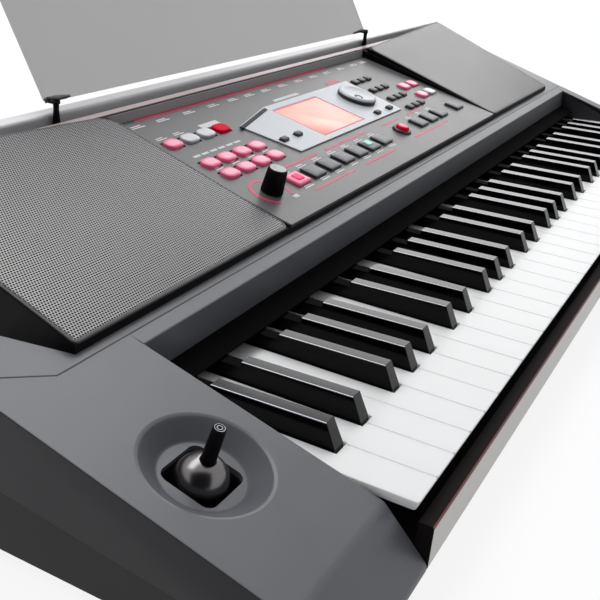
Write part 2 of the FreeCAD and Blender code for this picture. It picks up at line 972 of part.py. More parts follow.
def make_panel_controls():
    for name in button_rows:
        lift = d.bezel_sheet if name == "menu_buttons" else 0
        make_buttons(name, d.button_rise + lift)
    flange_low = panel_under - d.button_flange_sheet
    row_y = module_y + along("row") * cosine(d.panel_slope)
    turned("start_button", [
        (0, flange_low),
        (d.start_radius + d.button_flange, flange_low),
        (d.start_radius + d.button_flange, panel_under),
        (d.start_radius, panel_under),
        (d.start_radius, d.button_rise),
        (0, d.button_rise),
    ], placing(across("start"), row_y, panel_z(row_y), d.panel_slope))
    turned("volume_knob", [
        (0, panel_under - d.shaft_reach),
        (d.shaft_radius, panel_under - d.shaft_reach),
        (d.shaft_radius, d.turn_gap),
        (d.knob_radius, d.turn_gap),
        (d.knob_top_radius, d.knob_rise),
        (0, d.knob_rise),
    ], placing(across("knob"), row_y, panel_z(row_y), d.panel_slope))
    dial_y = module_y + along("dial") * cosine(d.panel_slope)
    dial_low = d.bezel_sheet + d.turn_gap
    dial_radius = along("dial") - along("pad_front") - d.menu_depth / 2 - d.dial_gap
    turned("data_dial", [
        (0, panel_under - d.shaft_reach),
        (d.shaft_radius, panel_under - d.shaft_reach),
        (d.shaft_radius, dial_low),
        (dial_radius, dial_low),
        (dial_radius, dial_low + d.dial_rise),
        (0, dial_low + d.dial_rise),
    ], placing(across("dial"), dial_y, panel_z(dial_y), d.panel_slope))


# Display: a bezel with a window, the glass in it, and the board behind the panel
def make_display():
    bezel = new_body("display_bezel", panel_frame_place)
    shape = new_sketch(bezel, "XY", 0)
    outline(shape, [
        (across("bezel_front_left"), along("bezel_front")),
        (across("bezel_front_right"), along("bezel_front")),
        (across("bezel_right"), along("bezel_back")),
        (across("bezel_corner"), along("bezel_back")),
        (across("bezel_left"), along("bezel_corner")),
    ])
    pad(bezel, shape, d.bezel_sheet)
    window = [across("glass_left"), across("glass_right"), along("glass_front"), along("glass_back")]
    holes = new_sketch(bezel, "XY", -d.bezel_sheet)
    rectangle(holes, *window)
    ring(holes, across("dial"), along("dial"), d.shaft_radius + d.turn_gap)
    button_outlines(holes, "menu_buttons", d.button_fit)
    cut(bezel, holes, d.bezel_sheet * 3)
    glass = new_body("display_glass", panel_frame_place)
    block(glass, *window, 0, d.glass_sheet)
    board = new_body("panel_board", panel_frame_place)
    half = d.panel_width / 2 - d.frame_ledge - d.post_half
    low = panel_under - d.panel_board_drop
    post_back = along("post_back")
    block(board, -half, half, d.frame_ledge + d.post_half, post_back + d.post_half, low, low + d.board)
    post_x = d.panel_width / 2 - d.post_inset
    posts = [(x, line) for x in (-post_x, post_x) for line in (d.post_inset, post_back)]
    posts += [(across("post_middle"), line) for line in (along("post_middle"), d.post_inset)]
    for x, line in posts:
        block(board, x - d.post_half, x + d.post_half, line - d.post_half, line + d.post_half,
              low + d.board, panel_under)


# Joystick: a dish in the left cheek, a fork under it, a cross and the stick with its ball
def make_joystick():
    rim_r = d.dish_radius + d.dish_flange
    under = -d.dish_depth - d.dish_sheet
    dish = turned("joystick_dish", [
        (0, -d.dish_depth),
        (d.dish_floor_radius, -d.dish_depth),
        (d.dish_radius, 0),
        (rim_r, 0),
        (rim_r, -d.dish_sheet),
        (d.dish_floor_radius + d.dish_sheet, under),
        (0, under),
    ], stick_frame)
    doc.recompute()
    hole = new_sketch(dish, "XY", under - d.dish_sheet)
    half = d.dish_hole / 2
    rectangle(hole, -half, half, -half, half)
    cut(dish, hole, d.dish_depth * 2)

    centre = -d.ball_depth
    base = new_body("joystick_base", stick_frame)
    block(base, -d.base_half, d.base_half, -d.base_half, d.base_half,
          -d.base_drop - d.wall, -d.base_drop)
    for x in (-d.base_half, d.base_half - d.base_leg):
        for y in (-d.base_half, d.base_half - d.base_leg):
            block(base, x, x + d.base_leg, y, y + d.base_leg, -d.base_drop, under)
    for y in (-d.fork_outer, d.fork_inner):
        block(base, -d.fork_half, d.fork_half, y, y + d.fork_outer - d.fork_inner,
              -d.base_drop, centre + d.fork_top)
    bores = new_sketch(base, "XZ", -d.base_half)
    ring(bores, 0, centre, d.cross_pin + d.cross_pin_fit)
    cut(base, bores, d.base_half * 2)

    cross = new_body("joystick_cross", stick_frame)
    block(cross, -d.cross_half, d.cross_half, -d.cross_half, d.cross_half,
          centre - d.cross_half, centre + d.cross_half)
    along = new_sketch(cross, "XZ", -d.fork_outer)
    ring(along, 0, centre, d.cross_pin)
    pad(cross, along, d.fork_outer * 2)
    across = new_sketch(cross, "YZ", -d.cross_reach)
    ring(across, 0, centre, d.cross_pin)
    pad(cross, across, d.cross_reach * 2)

    stick = new_body("joystick_stick", stick_frame)
    profile = new_sketch(stick, "XZ")
    ball_profile(profile, centre)
    ball = stick.newObject("PartDesign::Revolution", "joystick_ball")
    ball.Profile = profile
    ball.ReferenceAxis = (profile, ["V_Axis"])
    ball.Angle = 360
    doc.recompute()
    for x in (-d.lug_outer, d.lug_inner):
        block(stick, x, x + d.lug_outer - d.lug_inner, -d.lug_half, d.lug_half,
              centre - d.lug_rise, centre + d.lug_rise)
    holes = new_sketch(stick, "YZ", -d.ball_radius + d.ball_sheet)
    ring(holes, 0, centre, d.cross_pin + d.cross_pin_fit)
    cut(stick, holes, (d.ball_radius - d.ball_sheet) * 2)


# Half outline of the hollow ball with the tapered stick on top
def ball_profile(sketch, centre):
    mid = FreeCAD.Vector(0, centre.number, 0)
    outer = d.ball_radius.number
    inner = outer - d.ball_sheet.number
    skirt = centre - d.ball_skirt
    outer_low = math.sqrt(outer ** 2 - d.ball_skirt.number ** 2)
    inner_low = math.sqrt(inner ** 2 - d.ball_skirt.number ** 2)
    join = math.sqrt(outer ** 2 - d.stick_base_radius.number ** 2)
    low = math.atan2(-d.ball_skirt.number, outer_low)
    high = math.atan2(join, d.stick_base_radius.number)
    inner_start = math.atan2(-d.ball_skirt.number, inner_low)
    normal = FreeCAD.Vector(0, 0, 1)
    corner = FreeCAD.Vector(d.stick_base_radius.number, centre.number + join, 0)
    top = FreeCAD.Vector(d.stick_top_radius.number, d.stick_rise.number, 0)
    crown = FreeCAD.Vector(0, d.stick_rise.number, 0)
    roof = FreeCAD.Vector(0, centre.number + inner, 0)
    rim_inside = FreeCAD.Vector(inner_low, skirt.number, 0)
    rim_outside = FreeCAD.Vector(outer_low, skirt.number, 0)
    shapes = [
        Part.ArcOfCircle(Part.Circle(mid, normal, outer), low, high),
        Part.LineSegment(corner, top),
        Part.LineSegment(top, crown),
        Part.LineSegment(crown, roof),
        Part.ArcOfCircle(Part.Circle(mid, normal, inner), inner_start, math.pi / 2),
        Part.LineSegment(rim_inside, rim_outside),
    ]
    sketch.addGeometry(shapes)
    links = [(0, 2, 1, 1), (1, 2, 2, 1), (2, 2, 3, 1), (3, 2, 4, 2), (4, 1, 5, 1), (5, 2, 0, 1)]
    for link in links:
        sketch.addConstraint(Sketcher.Constraint("Coincident", *link))
    for arc, radius in ((0, d.ball_radius), (4, d.ball_radius - d.ball_sheet)):
        hold(sketch, "DistanceX", (-1, 1, arc, 3), 0)
        hold(sketch, "DistanceY", (-1, 1, arc, 3), centre)
        hold(sketch, "Radius", (arc,), radius)
    hold(sketch, "DistanceX", (-1, 1, 1, 1), d.stick_base_radius)
    hold(sketch, "DistanceX", (-1, 1, 1, 2), d.stick_top_radius)
    hold(sketch, "DistanceY", (-1, 1, 1, 2), d.stick_rise)
    hold(sketch, "DistanceX", (-1, 1, 3, 1), 0)
    hold(sketch, "DistanceY", (-1, 1, 3, 1), d.stick_rise)
    hold(sketch, "DistanceX", (-1, 1, 3, 2), 0)
    hold(sketch, "DistanceY", (-1, 1, 5, 1), skirt)
    hold(sketch, "DistanceY", (-1, 1, 5, 2), skirt)


# Music stand: a leaning plate on two pegs that stand in the groove
peg_x = d.stand_width / 2 - d.peg_inset
peg_y = groove_y + d.groove_width / 2
stand_z = rim_z + d.stand_clearance


def make_music_stand():
    plate = doc.addObject("Part::Box", "stand_plate")
    plate.setExpression("Length", d.stand_width.text)
    plate.setExpression("Width", d.stand_sheet.text)
    plate.setExpression("Height", d.stand_height.text)
    plate.setExpression("Placement", placing(-d.stand_width / 2, rim_y, stand_z, -d.stand_lean))
    pieces = [plate]
    for x in (-peg_x, peg_x):
        tip = doc.addObject("Part::Cylinder", "stand_peg_tip")
        tip.setExpression("Radius", d.peg_radius.text)
        tip.setExpression("Height", d.peg_depth.text)
        tip.setExpression("Placement", placing(x, peg_y, groove_z - d.peg_depth))
        peg = doc.addObject("Part::Cylinder", "stand_peg")
        peg.setExpression("Radius", d.peg_shoulder.text)
        peg.setExpression("Height", (stand_z + d.peg_block_rise - groove_z).text)
        peg.setExpression("Placement", placing(x, peg_y, groove_z))
        arm = doc.addObject("Part::Box", "stand_block")
        arm.setExpression("Length", (d.peg_block_half * 2).text)
        arm.setExpression("Width", (rim_y + d.peg_block_over - peg_y + d.peg_radius).text)
        arm.setExpression("Height", d.peg_block_rise.text)
        arm.setExpression("Placement", placing(x - d.peg_block_half, peg_y - d.peg_radius, stand_z))
        pieces += [tip, peg, arm]
    stand = doc.addObject("Part::MultiFuse", "music_stand")
    stand.Shapes = pieces
    stand.Label = "music_stand"
    nodes.append(stand)


# Boards, sockets and the power button at the back, feet and screws below
jack_places = [d.jack_x + d.jack_pitch * i for i in range(jack_count)]


def make_socket(label, places, bore):
    body = new_body(label)
    half = d.jack_width / 2
    boxes = new_sketch(body, "XZ", d.wall - back)
    for x in places:
        rectangle(boxes, x - half, x + half, d.jack_height - half, d.jack_height + half)
    pad(body, boxes, d.jack_depth)
    noses = new_sketch(body, "XZ", -back)
    for x in places:
        ring(noses, x, d.jack_height, d.jack_nose)
    pad(body, noses, d.wall)
    doc.recompute()
    bores = new_sketch(body, "XZ", -back)
    for x in places:
        ring(bores, x, d.jack_height, bore)
    cut(body, bores, d.jack_depth)


def make_rear_electrics():
    make_socket("audio_jacks", jack_places, d.jack_bore)
    make_socket("dc_inlet", [inlet_x], d.inlet_bore)
    power = new_body("power_button")
    cap = new_sketch(power, "XZ", -back - d.power_rise)
    ring(cap, power_x, d.jack_height, d.power_radius)
    pad(power, cap, d.power_rise + d.power_reach)

    half = d.jack_width / 2
    board_top = d.jack_height - half
    board_low = board_top - d.board
    left = jack_places[0] - half - d.jack_board_margin
    right = inlet_x + half + d.jack_board_margin
    front_side = back - d.wall - d.jack_depth
    jack_board = new_body("jack_board")
    block(jack_board, left, right, front_side, back - d.wall, board_low, board_top)
    for x in (left, right - d.jack_board_margin):
        block(jack_board, x, x + d.jack_board_margin, front_side, front_side + d.jack_board_margin,
              floor_top, board_low)

    main = new_body("main_board")
    half_board = d.main_board_width / 2
    low = floor_top + d.main_board_lift
    low_y = pivot_y + d.keybed_over + d.main_board_gap
    high_y = back - d.main_board_back
    block(main, -half_board, half_board, low_y, high_y, low, low + d.board)
    for x in (-half_board, half_board - d.jack_board_margin):
        for y in (low_y, high_y - d.jack_board_margin):
            block(main, x, x + d.jack_board_margin, y, y + d.jack_board_margin, floor_top, low)
    chip_y = (low_y + high_y) / 2
    for x in (-half_board / 2, half_board / 2):
        block(main, x - d.chip_half, x + d.chip_half, chip_y - d.chip_half, chip_y + d.chip_half,
              low + d.board, low + d.board + d.chip_rise)


def make_feet():
    front_line = front + d.undercut_depth + d.foot_radius * 2
    back_line = back - d.foot_inset
    body = new_body("feet")
    sketch = new_sketch(body, "XY", 0)
    ring(sketch, 0, 0, d.foot_radius)
    for x in (d.foot_inset - half_width, half_width - d.foot_inset):
        for y in (front_line, back_line):
            ring(sketch, x, y, d.foot_radius)
    pad(body, sketch, d.foot_height)
    screws = new_body("case_screws")
    heads = new_sketch(screws, "XY", d.foot_height - d.screw_head)
    for x in (d.screw_inset - half_width, half_width - d.screw_inset):
        for y in (front_line, 0, back_line):
            ring(heads, x, y, d.screw_radius)
    pad(screws, heads, d.screw_head)


make_lower_case()
make_cheeks()
make_key_trim()
make_rear_deck()
make_panel_frame()
for side, sign in (("left", -1), ("right", 1)):
    make_grille(side, sign)
    make_speaker(side)
make_keys()
make_keybed()
make_control_panel()
make_panel_controls()
make_display()
make_joystick()
make_music_stand()
make_rear_electrics()
make_feet()

doc.recompute()
for thing in doc.Objects:
    if "Invalid" in thing.State or "Error" in thing.State:
        raise RuntimeError("%s failed: %s" % (thing.Label, thing.State))
os.makedirs("parts", exist_ok=True)
for node in nodes:
    if node.Shape.isNull() or not node.Shape.isValid():
        raise RuntimeError("%s has a bad shape" % node.Label)
for node in nodes:
    node.Shape.exportStep("parts/%s.step" % node.Label)
print("wrote %d parts" % len(nodes))
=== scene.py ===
import math

import bmesh
import bpy
from mathutils import Matrix, Vector


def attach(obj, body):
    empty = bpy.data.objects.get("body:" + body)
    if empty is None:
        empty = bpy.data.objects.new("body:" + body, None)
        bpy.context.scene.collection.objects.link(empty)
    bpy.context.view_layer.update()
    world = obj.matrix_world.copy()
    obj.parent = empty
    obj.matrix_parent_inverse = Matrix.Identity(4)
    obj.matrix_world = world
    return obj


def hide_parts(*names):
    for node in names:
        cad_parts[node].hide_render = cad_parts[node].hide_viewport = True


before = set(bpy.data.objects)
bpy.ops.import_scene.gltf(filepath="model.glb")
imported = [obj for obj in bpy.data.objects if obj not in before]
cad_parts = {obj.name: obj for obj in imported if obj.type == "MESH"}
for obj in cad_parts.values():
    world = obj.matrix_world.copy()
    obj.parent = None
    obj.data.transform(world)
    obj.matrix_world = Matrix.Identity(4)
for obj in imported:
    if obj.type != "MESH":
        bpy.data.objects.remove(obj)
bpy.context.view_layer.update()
scene = bpy.context.scene
metres = 0.001  # the shapes below are written in millimetres
print("frame loaded:", len(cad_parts), "nodes")

# Main lines of the keyboard, as in the solid model
lines = {
    "halfWidth": 478.0,
    "front": -178.0,
    "keyFront": -168.0,
    "keysLeft": -388.5,
    "wellLeft": -390.5,
    "bendY": -19.1,
    "bendZ": 78.5,
    "seamY": -10.1,
    "deckSlope": math.radians(15.27),
    "moduleY": -5.0,
    "moduleLift": 5.6,
    "panelSlope": math.radians(12.4),
    "whiteTop": 46.0,
    "stickX": -434.0,
    "stickY": -86.1,
}


def deckZ(y):
    return lines["bendZ"] + (y - lines["bendY"]) * math.tan(lines["deckSlope"])


lines["moduleZ"] = deckZ(lines["moduleY"]) + lines["moduleLift"]


def onPanel(x, along, up):  # a spot on the control panel, measured up its slope from the front edge
    slope = lines["panelSlope"]
    y = lines["moduleY"] + along * math.cos(slope) - up * math.sin(slope)
    z = lines["moduleZ"] + along * math.sin(slope) + up * math.cos(slope)
    return Vector((x, y, z))


stickSpot = Vector((lines["stickX"], lines["stickY"], deckZ(lines["stickY"])))


def onCheek(x, along, up):  # a spot round the joystick, square to the left cheek
    slope = lines["deckSlope"]
    y = along * math.cos(slope) - up * math.sin(slope)
    z = along * math.sin(slope) + up * math.cos(slope)
    return stickSpot + Vector((x, y, z))


# Mesh helpers
def addPiece(name, bm, looks, slotName, body, *nodes, smooth=True):
    bmesh.ops.scale(bm, vec=(metres, metres, metres), verts=bm.verts)
    bmesh.ops.recalc_face_normals(bm, faces=bm.faces)
    mesh = bpy.data.meshes.new(name)
    bm.to_mesh(mesh)
    bm.free()
    for face in mesh.polygons:
        face.use_smooth = smooth
    for look in looks:
        mesh.materials.append(finishes[look])
    piece = bpy.data.objects.new(name, mesh)
    scene.collection.objects.link(piece)
    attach(piece, body)
    if nodes:
        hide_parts(*nodes)
    return piece


def evenShade(piece):
    weighted = piece.modifiers.new("evenShade", "WEIGHTED_NORMAL")
    weighted.keep_sharp = True


def softEdges(piece, width, segments=3, angle=32):
    bevel = piece.modifiers.new("softEdges", "BEVEL")
    bevel.width = width * metres
    bevel.segments = segments
    bevel.limit_method = "ANGLE"
    bevel.angle_limit = math.radians(angle)
    bevel.use_clamp_overlap = True
    evenShade(piece)


def addLoft(bm, rings, capStart=True, capEnd=True, finish=0):  # finish: one number, or one for each band
    loops = [[bm.verts.new(p) for p in ring] for ring in rings]
    count = len(loops[0])
    bands = finish if isinstance(finish, list) else [finish] * (len(loops) - 1)
    for low, high, band in zip(loops, loops[1:], bands):
        for i in range(count):
            j = (i + 1) % count
            bm.faces.new((low[i], low[j], high[j], high[i])).material_index = band
    if capStart:
        bm.faces.new(loops[0][::-1]).material_index = bands[0]
    if capEnd:
        bm.faces.new(loops[-1]).material_index = bands[-1]
    return loops


def addPrism(bm, profile, start, end):
    addLoft(bm, [[(x, y, z) for y, z in profile] for x in (start, end)])


def addFacing(name, profile, start, end, look, slotName):  # a thin sheet on the case
    bm = bmesh.new()
    addPrism(bm, profile, start, end)
    addPiece(name, bm, [look], slotName, "case", smooth=False)


def roundedRect(width, depth, radius, steps=5):
    spots = []
    corners = ((1, 1, 0), (-1, 1, 90), (-1, -1, 180), (1, -1, 270))
    for sx, sy, turn in corners:
        cx = sx * (width / 2 - radius)
        cy = sy * (depth / 2 - radius)
        for i in range(steps + 1):
            angle = math.radians(turn + 90 * i / steps)
            spots.append((cx + radius * math.cos(angle), cy + radius * math.sin(angle)))
    return spots


def circleOf(radius, count=48):
    return [(radius * math.cos(2 * math.pi * i / count), radius * math.sin(2 * math.pi * i / count))
            for i in range(count)]


# Finishes
def finishNodes(name):
    finish = bpy.data.materials.new(name)
    finish.use_nodes = True
    nodes = finish.node_tree.nodes
    links = finish.node_tree.links
    return finish, nodes, links, nodes["Principled BSDF"]


def mixColour(nodes, links, factor, low, high):
    mix = nodes.new("ShaderNodeMix")
    mix.data_type = "RGBA"
    links.new(factor, mix.inputs[0])
    for socket, colour in ((mix.inputs[6], low), (mix.inputs[7], high)):
        if isinstance(colour, tuple):
            socket.default_value = (*colour, 1)
        else:
            links.new(colour, socket)
    return mix.outputs[2]


def spread(nodes, links, source, low, high, fromLow=0.0, fromHigh=1.0):
    ranger = nodes.new("ShaderNodeMapRange")
    ranger.inputs["From Min"].default_value = fromLow
    ranger.inputs["From Max"].default_value = fromHigh
    ranger.inputs["To Min"].default_value = low
    ranger.inputs["To Max"].default_value = high
    links.new(source, ranger.inputs["Value"])
    return ranger.outputs["Result"]


def noiseOf(nodes, links, spots, scale, detail=3):
    noise = nodes.new("ShaderNodeTexNoise")
    noise.inputs["Scale"].default_value = scale
    noise.inputs["Detail"].default_value = detail
    links.new(spots, noise.inputs["Vector"])
    return noise.outputs["Fac"]


def cloudedColour(nodes, links, shader, scale, low, high):
    cloud = noiseOf(nodes, links, nodes.new("ShaderNodeTexCoord").outputs["Object"], scale)
    links.new(mixColour(nodes, links, cloud, low, high), shader.inputs["Base Color"])
    return cloud


def shade(colour, factor):
    return tuple(min(1.0, c * factor) for c in colour)


# What a plastic has where its own look says nothing else
usualPlastic = {
    "cloud": 22, "grain": 2600, "grainDepth": 0.0002, "vary": 0.05, "wear": 0.12, "roughVary": 0.05,
    "ior": 1.47, "metal": 0.0, "coat": 0.0, "bump": 0.0, "glow": 0.0,
    "depth": 0.0, "soak": 0.7, "soakRadius": (1.0, 0.95, 0.9),
}


def mouldedPlastic(name, ownLook):
    look = {**usualPlastic, **ownLook}
    finish, nodes, links, shader = finishNodes(name)
    spots = nodes.new("ShaderNodeTexCoord").outputs["Object"]
    cloud = noiseOf(nodes, links, spots, look["cloud"])
    colour = look["colour"]
    patches = spread(nodes, links, cloud, 0, 1, 0.3, 0.7)
    base = mixColour(nodes, links, patches, shade(colour, 1 - look["vary"]), shade(colour, 1 + look["vary"]))
    if look["wear"]:  # edges are rubbed a little paler
        edge = nodes.new("ShaderNodeNewGeometry").outputs["Pointiness"]
        rub = spread(nodes, links, edge, 0, 1, 0.52, 0.62)
        base = mixColour(nodes, links, rub, base, shade(colour, 1 + look["wear"]))
    links.new(base, shader.inputs["Base Color"])
    rough = look["rough"]
    roughVary = look["roughVary"]
    links.new(spread(nodes, links, cloud, rough - roughVary, rough + roughVary), shader.inputs["Roughness"])
    shader.inputs["IOR"].default_value = look["ior"]
    shader.inputs["Metallic"].default_value = look["metal"]
    shader.inputs["Coat Weight"].default_value = look["coat"]
    if look["depth"]:  # light that soaks into pale plastic and leaves by its edges
        shader.inputs["Subsurface Weight"].default_value = look["soak"]
        shader.inputs["Subsurface Radius"].default_value = look["soakRadius"]
        shader.inputs["Subsurface Scale"].default_value = look["depth"]
    if look["bump"]:
        bump = nodes.new("ShaderNodeBump")
        bump.inputs["Strength"].default_value = look["bump"]
        bump.inputs["Distance"].default_value = look["grainDepth"]
        links.new(noiseOf(nodes, links, spots, look["grain"], 2), bump.inputs["Height"])
        links.new(bump.outputs["Normal"], shader.inputs["Normal"])
    if look["glow"]:
        shader.inputs["Emission Color"].default_value = (*colour, 1)
        shader.inputs["Emission Strength"].default_value = look["glow"]
    return finish


plasticLooks = {
    "caseTop": {"colour": (0.108, 0.111, 0.124), "rough": 0.37, "bump": 0.18},
    # much darker than the case top, for walls that stand in shadow: painted shade
    "wallPaintedShade": {"colour": (0.022, 0.022, 0.025), "rough": 0.55, "ior": 1.28, "bump": 0.18},
    # a copy of the case colour for the joystick's dish, set for its light and shade: painted shading
    "dishPaintedShading": {"colour": (0.112, 0.114, 0.126), "rough": 0.5, "ior": 1.12, "bump": 0.18},
    "caseLower": {"colour": (0.012, 0.011, 0.01), "rough": 0.55, "ior": 1.35, "bump": 0.2},
    "slipBlack": {"colour": (0.008, 0.006, 0.006), "rough": 0.7, "ior": 1.15, "bump": 0.1},
    # pale for the key slip's front: a painted reflection of the floor on dark plastic
    "slipPaintedReflection": {"colour": (0.5, 0.47, 0.44), "rough": 0.3},
    "slipLine": {"colour": (0.2, 0.07, 0.062), "rough": 0.6, "wear": 0},
    "trimBlack": {"colour": (0.004, 0.004, 0.005), "rough": 0.55, "ior": 1.15, "bump": 0.1},
    # grey for the facing on the panel's back wall: painted light on a wall that sits in shadow, much paler
    # than the frame's black
    "wallPaintedLight": {"colour": (0.3, 0.295, 0.3), "rough": 0.5, "bump": 0.1},
    "panelGrey": {"colour": (0.087, 0.085, 0.09), "rough": 0.38, "bump": 0.08},
    "bezelSilver": {"colour": (0.5, 0.525, 0.56), "rough": 0.38, "bump": 0.04},
    "grilleGrey": {"colour": (0.2, 0.198, 0.206), "rough": 0.3, "ior": 1.85},
    # near black for the grille's pits: partly the dark speaker behind the holes, partly painted shade inside
    # them
    "pitBlackAndShade": {"colour": (0.004, 0.004, 0.0045), "rough": 0.8, "ior": 1.12, "wear": 0},
    # dark grey of the stand's clip, which is its own colour; on the grille's folded rim the same dark colour
    # is painted shade
    "clipGreyAndRimShade": {"colour": (0.03, 0.03, 0.032), "rough": 0.45, "wear": 0},
    "keyWhite": {"colour": (0.86, 0.86, 0.855), "rough": 0.3, "ior": 1.2, "depth": 0.004,
                 "vary": 0.015, "wear": 0, "coat": 0.02},
    "keyGloss": {"colour": (0.0015, 0.0015, 0.002), "rough": 0.1, "roughVary": 0.02, "wear": 0, "ior": 1.2},
    "keySatin": {"colour": (0.007, 0.0078, 0.0105), "rough": 0.16, "ior": 1.34, "wear": 0,
                 "bump": 0.06, "grain": 3200},
    # a pale metallic strip on the black keys' top edge: a painted glint
    "keyPaintedGlint": {"colour": (0.24, 0.245, 0.265), "rough": 0.26, "roughVary": 0.03, "wear": 0, "metal": 1.0},
    "keyTail": {"colour": (0.003, 0.003, 0.003), "rough": 0.8, "wear": 0, "ior": 1.1},
    "stickBlack": {"colour": (0.003, 0.003, 0.004), "rough": 0.4, "ior": 1.18, "bump": 0.1},
    "knobGrey": {"colour": (0.42, 0.42, 0.43), "rough": 0.4},
    "ballBlack": {"colour": (0.16, 0.152, 0.156), "rough": 0.25, "metal": 1.0, "wear": 0},
    # rose for the strip behind the panel: a painted reflection
    "stripPaintedReflection": {"colour": (0.4, 0.3, 0.3), "rough": 0.35, "wear": 0},
    # pale for the facing on the back rim: painted sheen on the dark case
    "rimPaintedSheen": {"colour": (0.66, 0.66, 0.67), "rough": 0.4, "bump": 0.1},
    "buttonRose": {"colour": (0.8, 0.03, 0.16), "rough": 0.4, "ior": 1.2, "wear": 0, "glow": 0.3},
    "buttonPink": {"colour": (0.75, 0.12, 0.24), "rough": 0.3, "wear": 0, "glow": 0.15},
    "buttonLit": {"colour": (0.78, 0.3, 0.43), "rough": 0.3, "wear": 0, "glow": 0.2},
    "buttonRed": {"colour": (0.62, 0.0, 0.03), "rough": 0.45, "ior": 1.12, "wear": 0, "glow": 0.12},
    "buttonWhite": {"colour": (0.6, 0.63, 0.65), "rough": 0.3, "wear": 0},
    "buttonGrey": {"colour": (0.095, 0.101, 0.113), "rough": 0.35, "ior": 1.35},
    "buttonGreen": {"colour": (0.22, 0.55, 0.42), "rough": 0.35, "wear": 0, "glow": 0.15},
    "buttonDark": {"colour": (0.02, 0.02, 0.022), "rough": 0.4},
    "printRed": {"colour": (0.58, 0.03, 0.085), "rough": 0.45, "wear": 0},
    "printPale": {"colour": (0.6, 0.6, 0.61), "rough": 0.5, "wear": 0},
    "boardGreen": {"colour": (0.02, 0.12, 0.05), "rough": 0.4},
    "rubberBlack": {"colour": (0.02, 0.02, 0.02), "rough": 0.8, "bump": 0.3},
    "feltBlack": {"colour": (0.003, 0.003, 0.003), "rough": 0.95, "ior": 1.1, "bump": 0.6, "grain": 1500},
    "steelZinc": {"colour": (0.5, 0.5, 0.5), "rough": 0.3, "metal": 1.0},
    "conePaper": {"colour": (0.03, 0.03, 0.03), "rough": 0.85, "bump": 0.4},
}
finishes = {name: mouldedPlastic(name, look) for name, look in plasticLooks.items()}
print("finishes made:", len(finishes))


# Solid parts that stay as they are get a finish and softened edges
weldReach = 0.02


def dressNode(name, finish, width=0.0):
    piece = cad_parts[name]
    for slotOf in piece.material_slots:
        slotOf.material = finishes[finish]
    if width:
        weld = piece.modifiers.new("join", "WELD")
        weld.merge_threshold = weldReach * metres
        softEdges(piece, width)


dressed = {
    "lower_case": ("caseLower", 1.2), "right_cheek": ("caseTop", 1.6), "rear_deck": ("caseTop", 0.7),
    "key_bar": ("caseTop", 0.6), "dust_felt": ("feltBlack", 0),
    "panel_frame": ("trimBlack", 0.4), "grille_housing_left": ("trimBlack", 0.7),
    "grille_housing_right": ("trimBlack", 0.7), "control_panel": ("panelGrey", 0.3),
    "speaker_basket_left": ("trimBlack", 0), "speaker_basket_right": ("trimBlack", 0),
    "speaker_cone_left": ("conePaper", 0), "speaker_cone_right": ("conePaper", 0),
    "keybed_frame": ("trimBlack", 0.4), "contact_board": ("boardGreen", 0),
    "contact_rubber": ("rubberBlack", 0.5),
    "main_board": ("boardGreen", 0), "jack_board": ("boardGreen", 0), "panel_board": ("boardGreen", 0),
    "audio_jacks": ("trimBlack", 0.3), "dc_inlet": ("trimBlack", 0.3), "joystick_base": ("trimBlack", 0.3),
    "joystick_cross": ("trimBlack", 0.2), "feet": ("rubberBlack", 0.8), "case_screws": ("steelZinc", 0.3),
    "power_button": ("buttonDark", 0.6),
}
for nodeName, (finishName, edgeWidth) in dressed.items():
    dressNode(nodeName, finishName, edgeWidth)
print("solid parts dressed:", len(dressed))

# Keys, one piece for each note name
keySizes = {
    "pitch": 23.5, "gap": 0.18, "head": 47.0, "lip": 5.0, "undercut": 1.7, "reach": 0.9, "height": 12.0,
    "skirtSetback": 46.0, "skirtInset": 0.2, "corner": 1.5, "cornerSteps": 4, "whiteRound": 0.55,
    "edge": 0.45, "end": 42.0, "octaves": 5,
    "blackLeft": {"c": 14.2, "d": 43.8, "f": 84.3, "g": 111.4, "a": 138.7},
    "blackWidth": 9.5, "blackSideGap": 1.0, "blackFront": 48.0, "blackLean": 6.5, "blackRise": 13.2,
    "blackRound": 0.25, "capEnd": 120.2, "capDrop": 1.7, "tailRise": 8.0, "chin": 6.0, "sideLean": 0.75,
}


def addWhiteKey(bm, left, right, tailLeft, tailRight):
    s = keySizes
    front = lines["keyFront"] - s["reach"]
    headEnd = lines["keyFront"] + s["head"]
    plan = []
    for x, turn in ((left + s["corner"], 180), (right - s["corner"], 270)):
        for i in range(s["cornerSteps"] + 1):
            angle = math.radians(turn + 90 * i / s["cornerSteps"])
            plan.append((x + s["corner"] * math.cos(angle), front + s["corner"] * (1 + math.sin(angle))))
    if tailRight != right:
        plan += [(right, headEnd), (tailRight, headEnd)]
    plan += [(tailRight, s["end"]), (tailLeft, s["end"])]
    if tailLeft != left:
        plan += [(tailLeft, headEnd), (left, headEnd)]
    top = lines["whiteTop"]
    under = top - s["lip"]
    noseEnd = front + s["corner"] + 0.1  # only the rounded front is undercut
    low = [(x, y + s["undercut"] if y < noseEnd else y, under) for x, y in plan]
    addLoft(bm, [low, [(x, y, top) for x, y in plan]])
    inset = s["skirtInset"]
    skirt = [(tailLeft + inset, front + s["skirtSetback"]), (tailRight - inset, front + s["skirtSetback"]),
             (tailRight - inset, s["end"] - inset), (tailLeft + inset, s["end"] - inset)]
    addLoft(bm, [[(x, y, z) for x, y in skirt] for z in (top - s["height"], under + inset)])


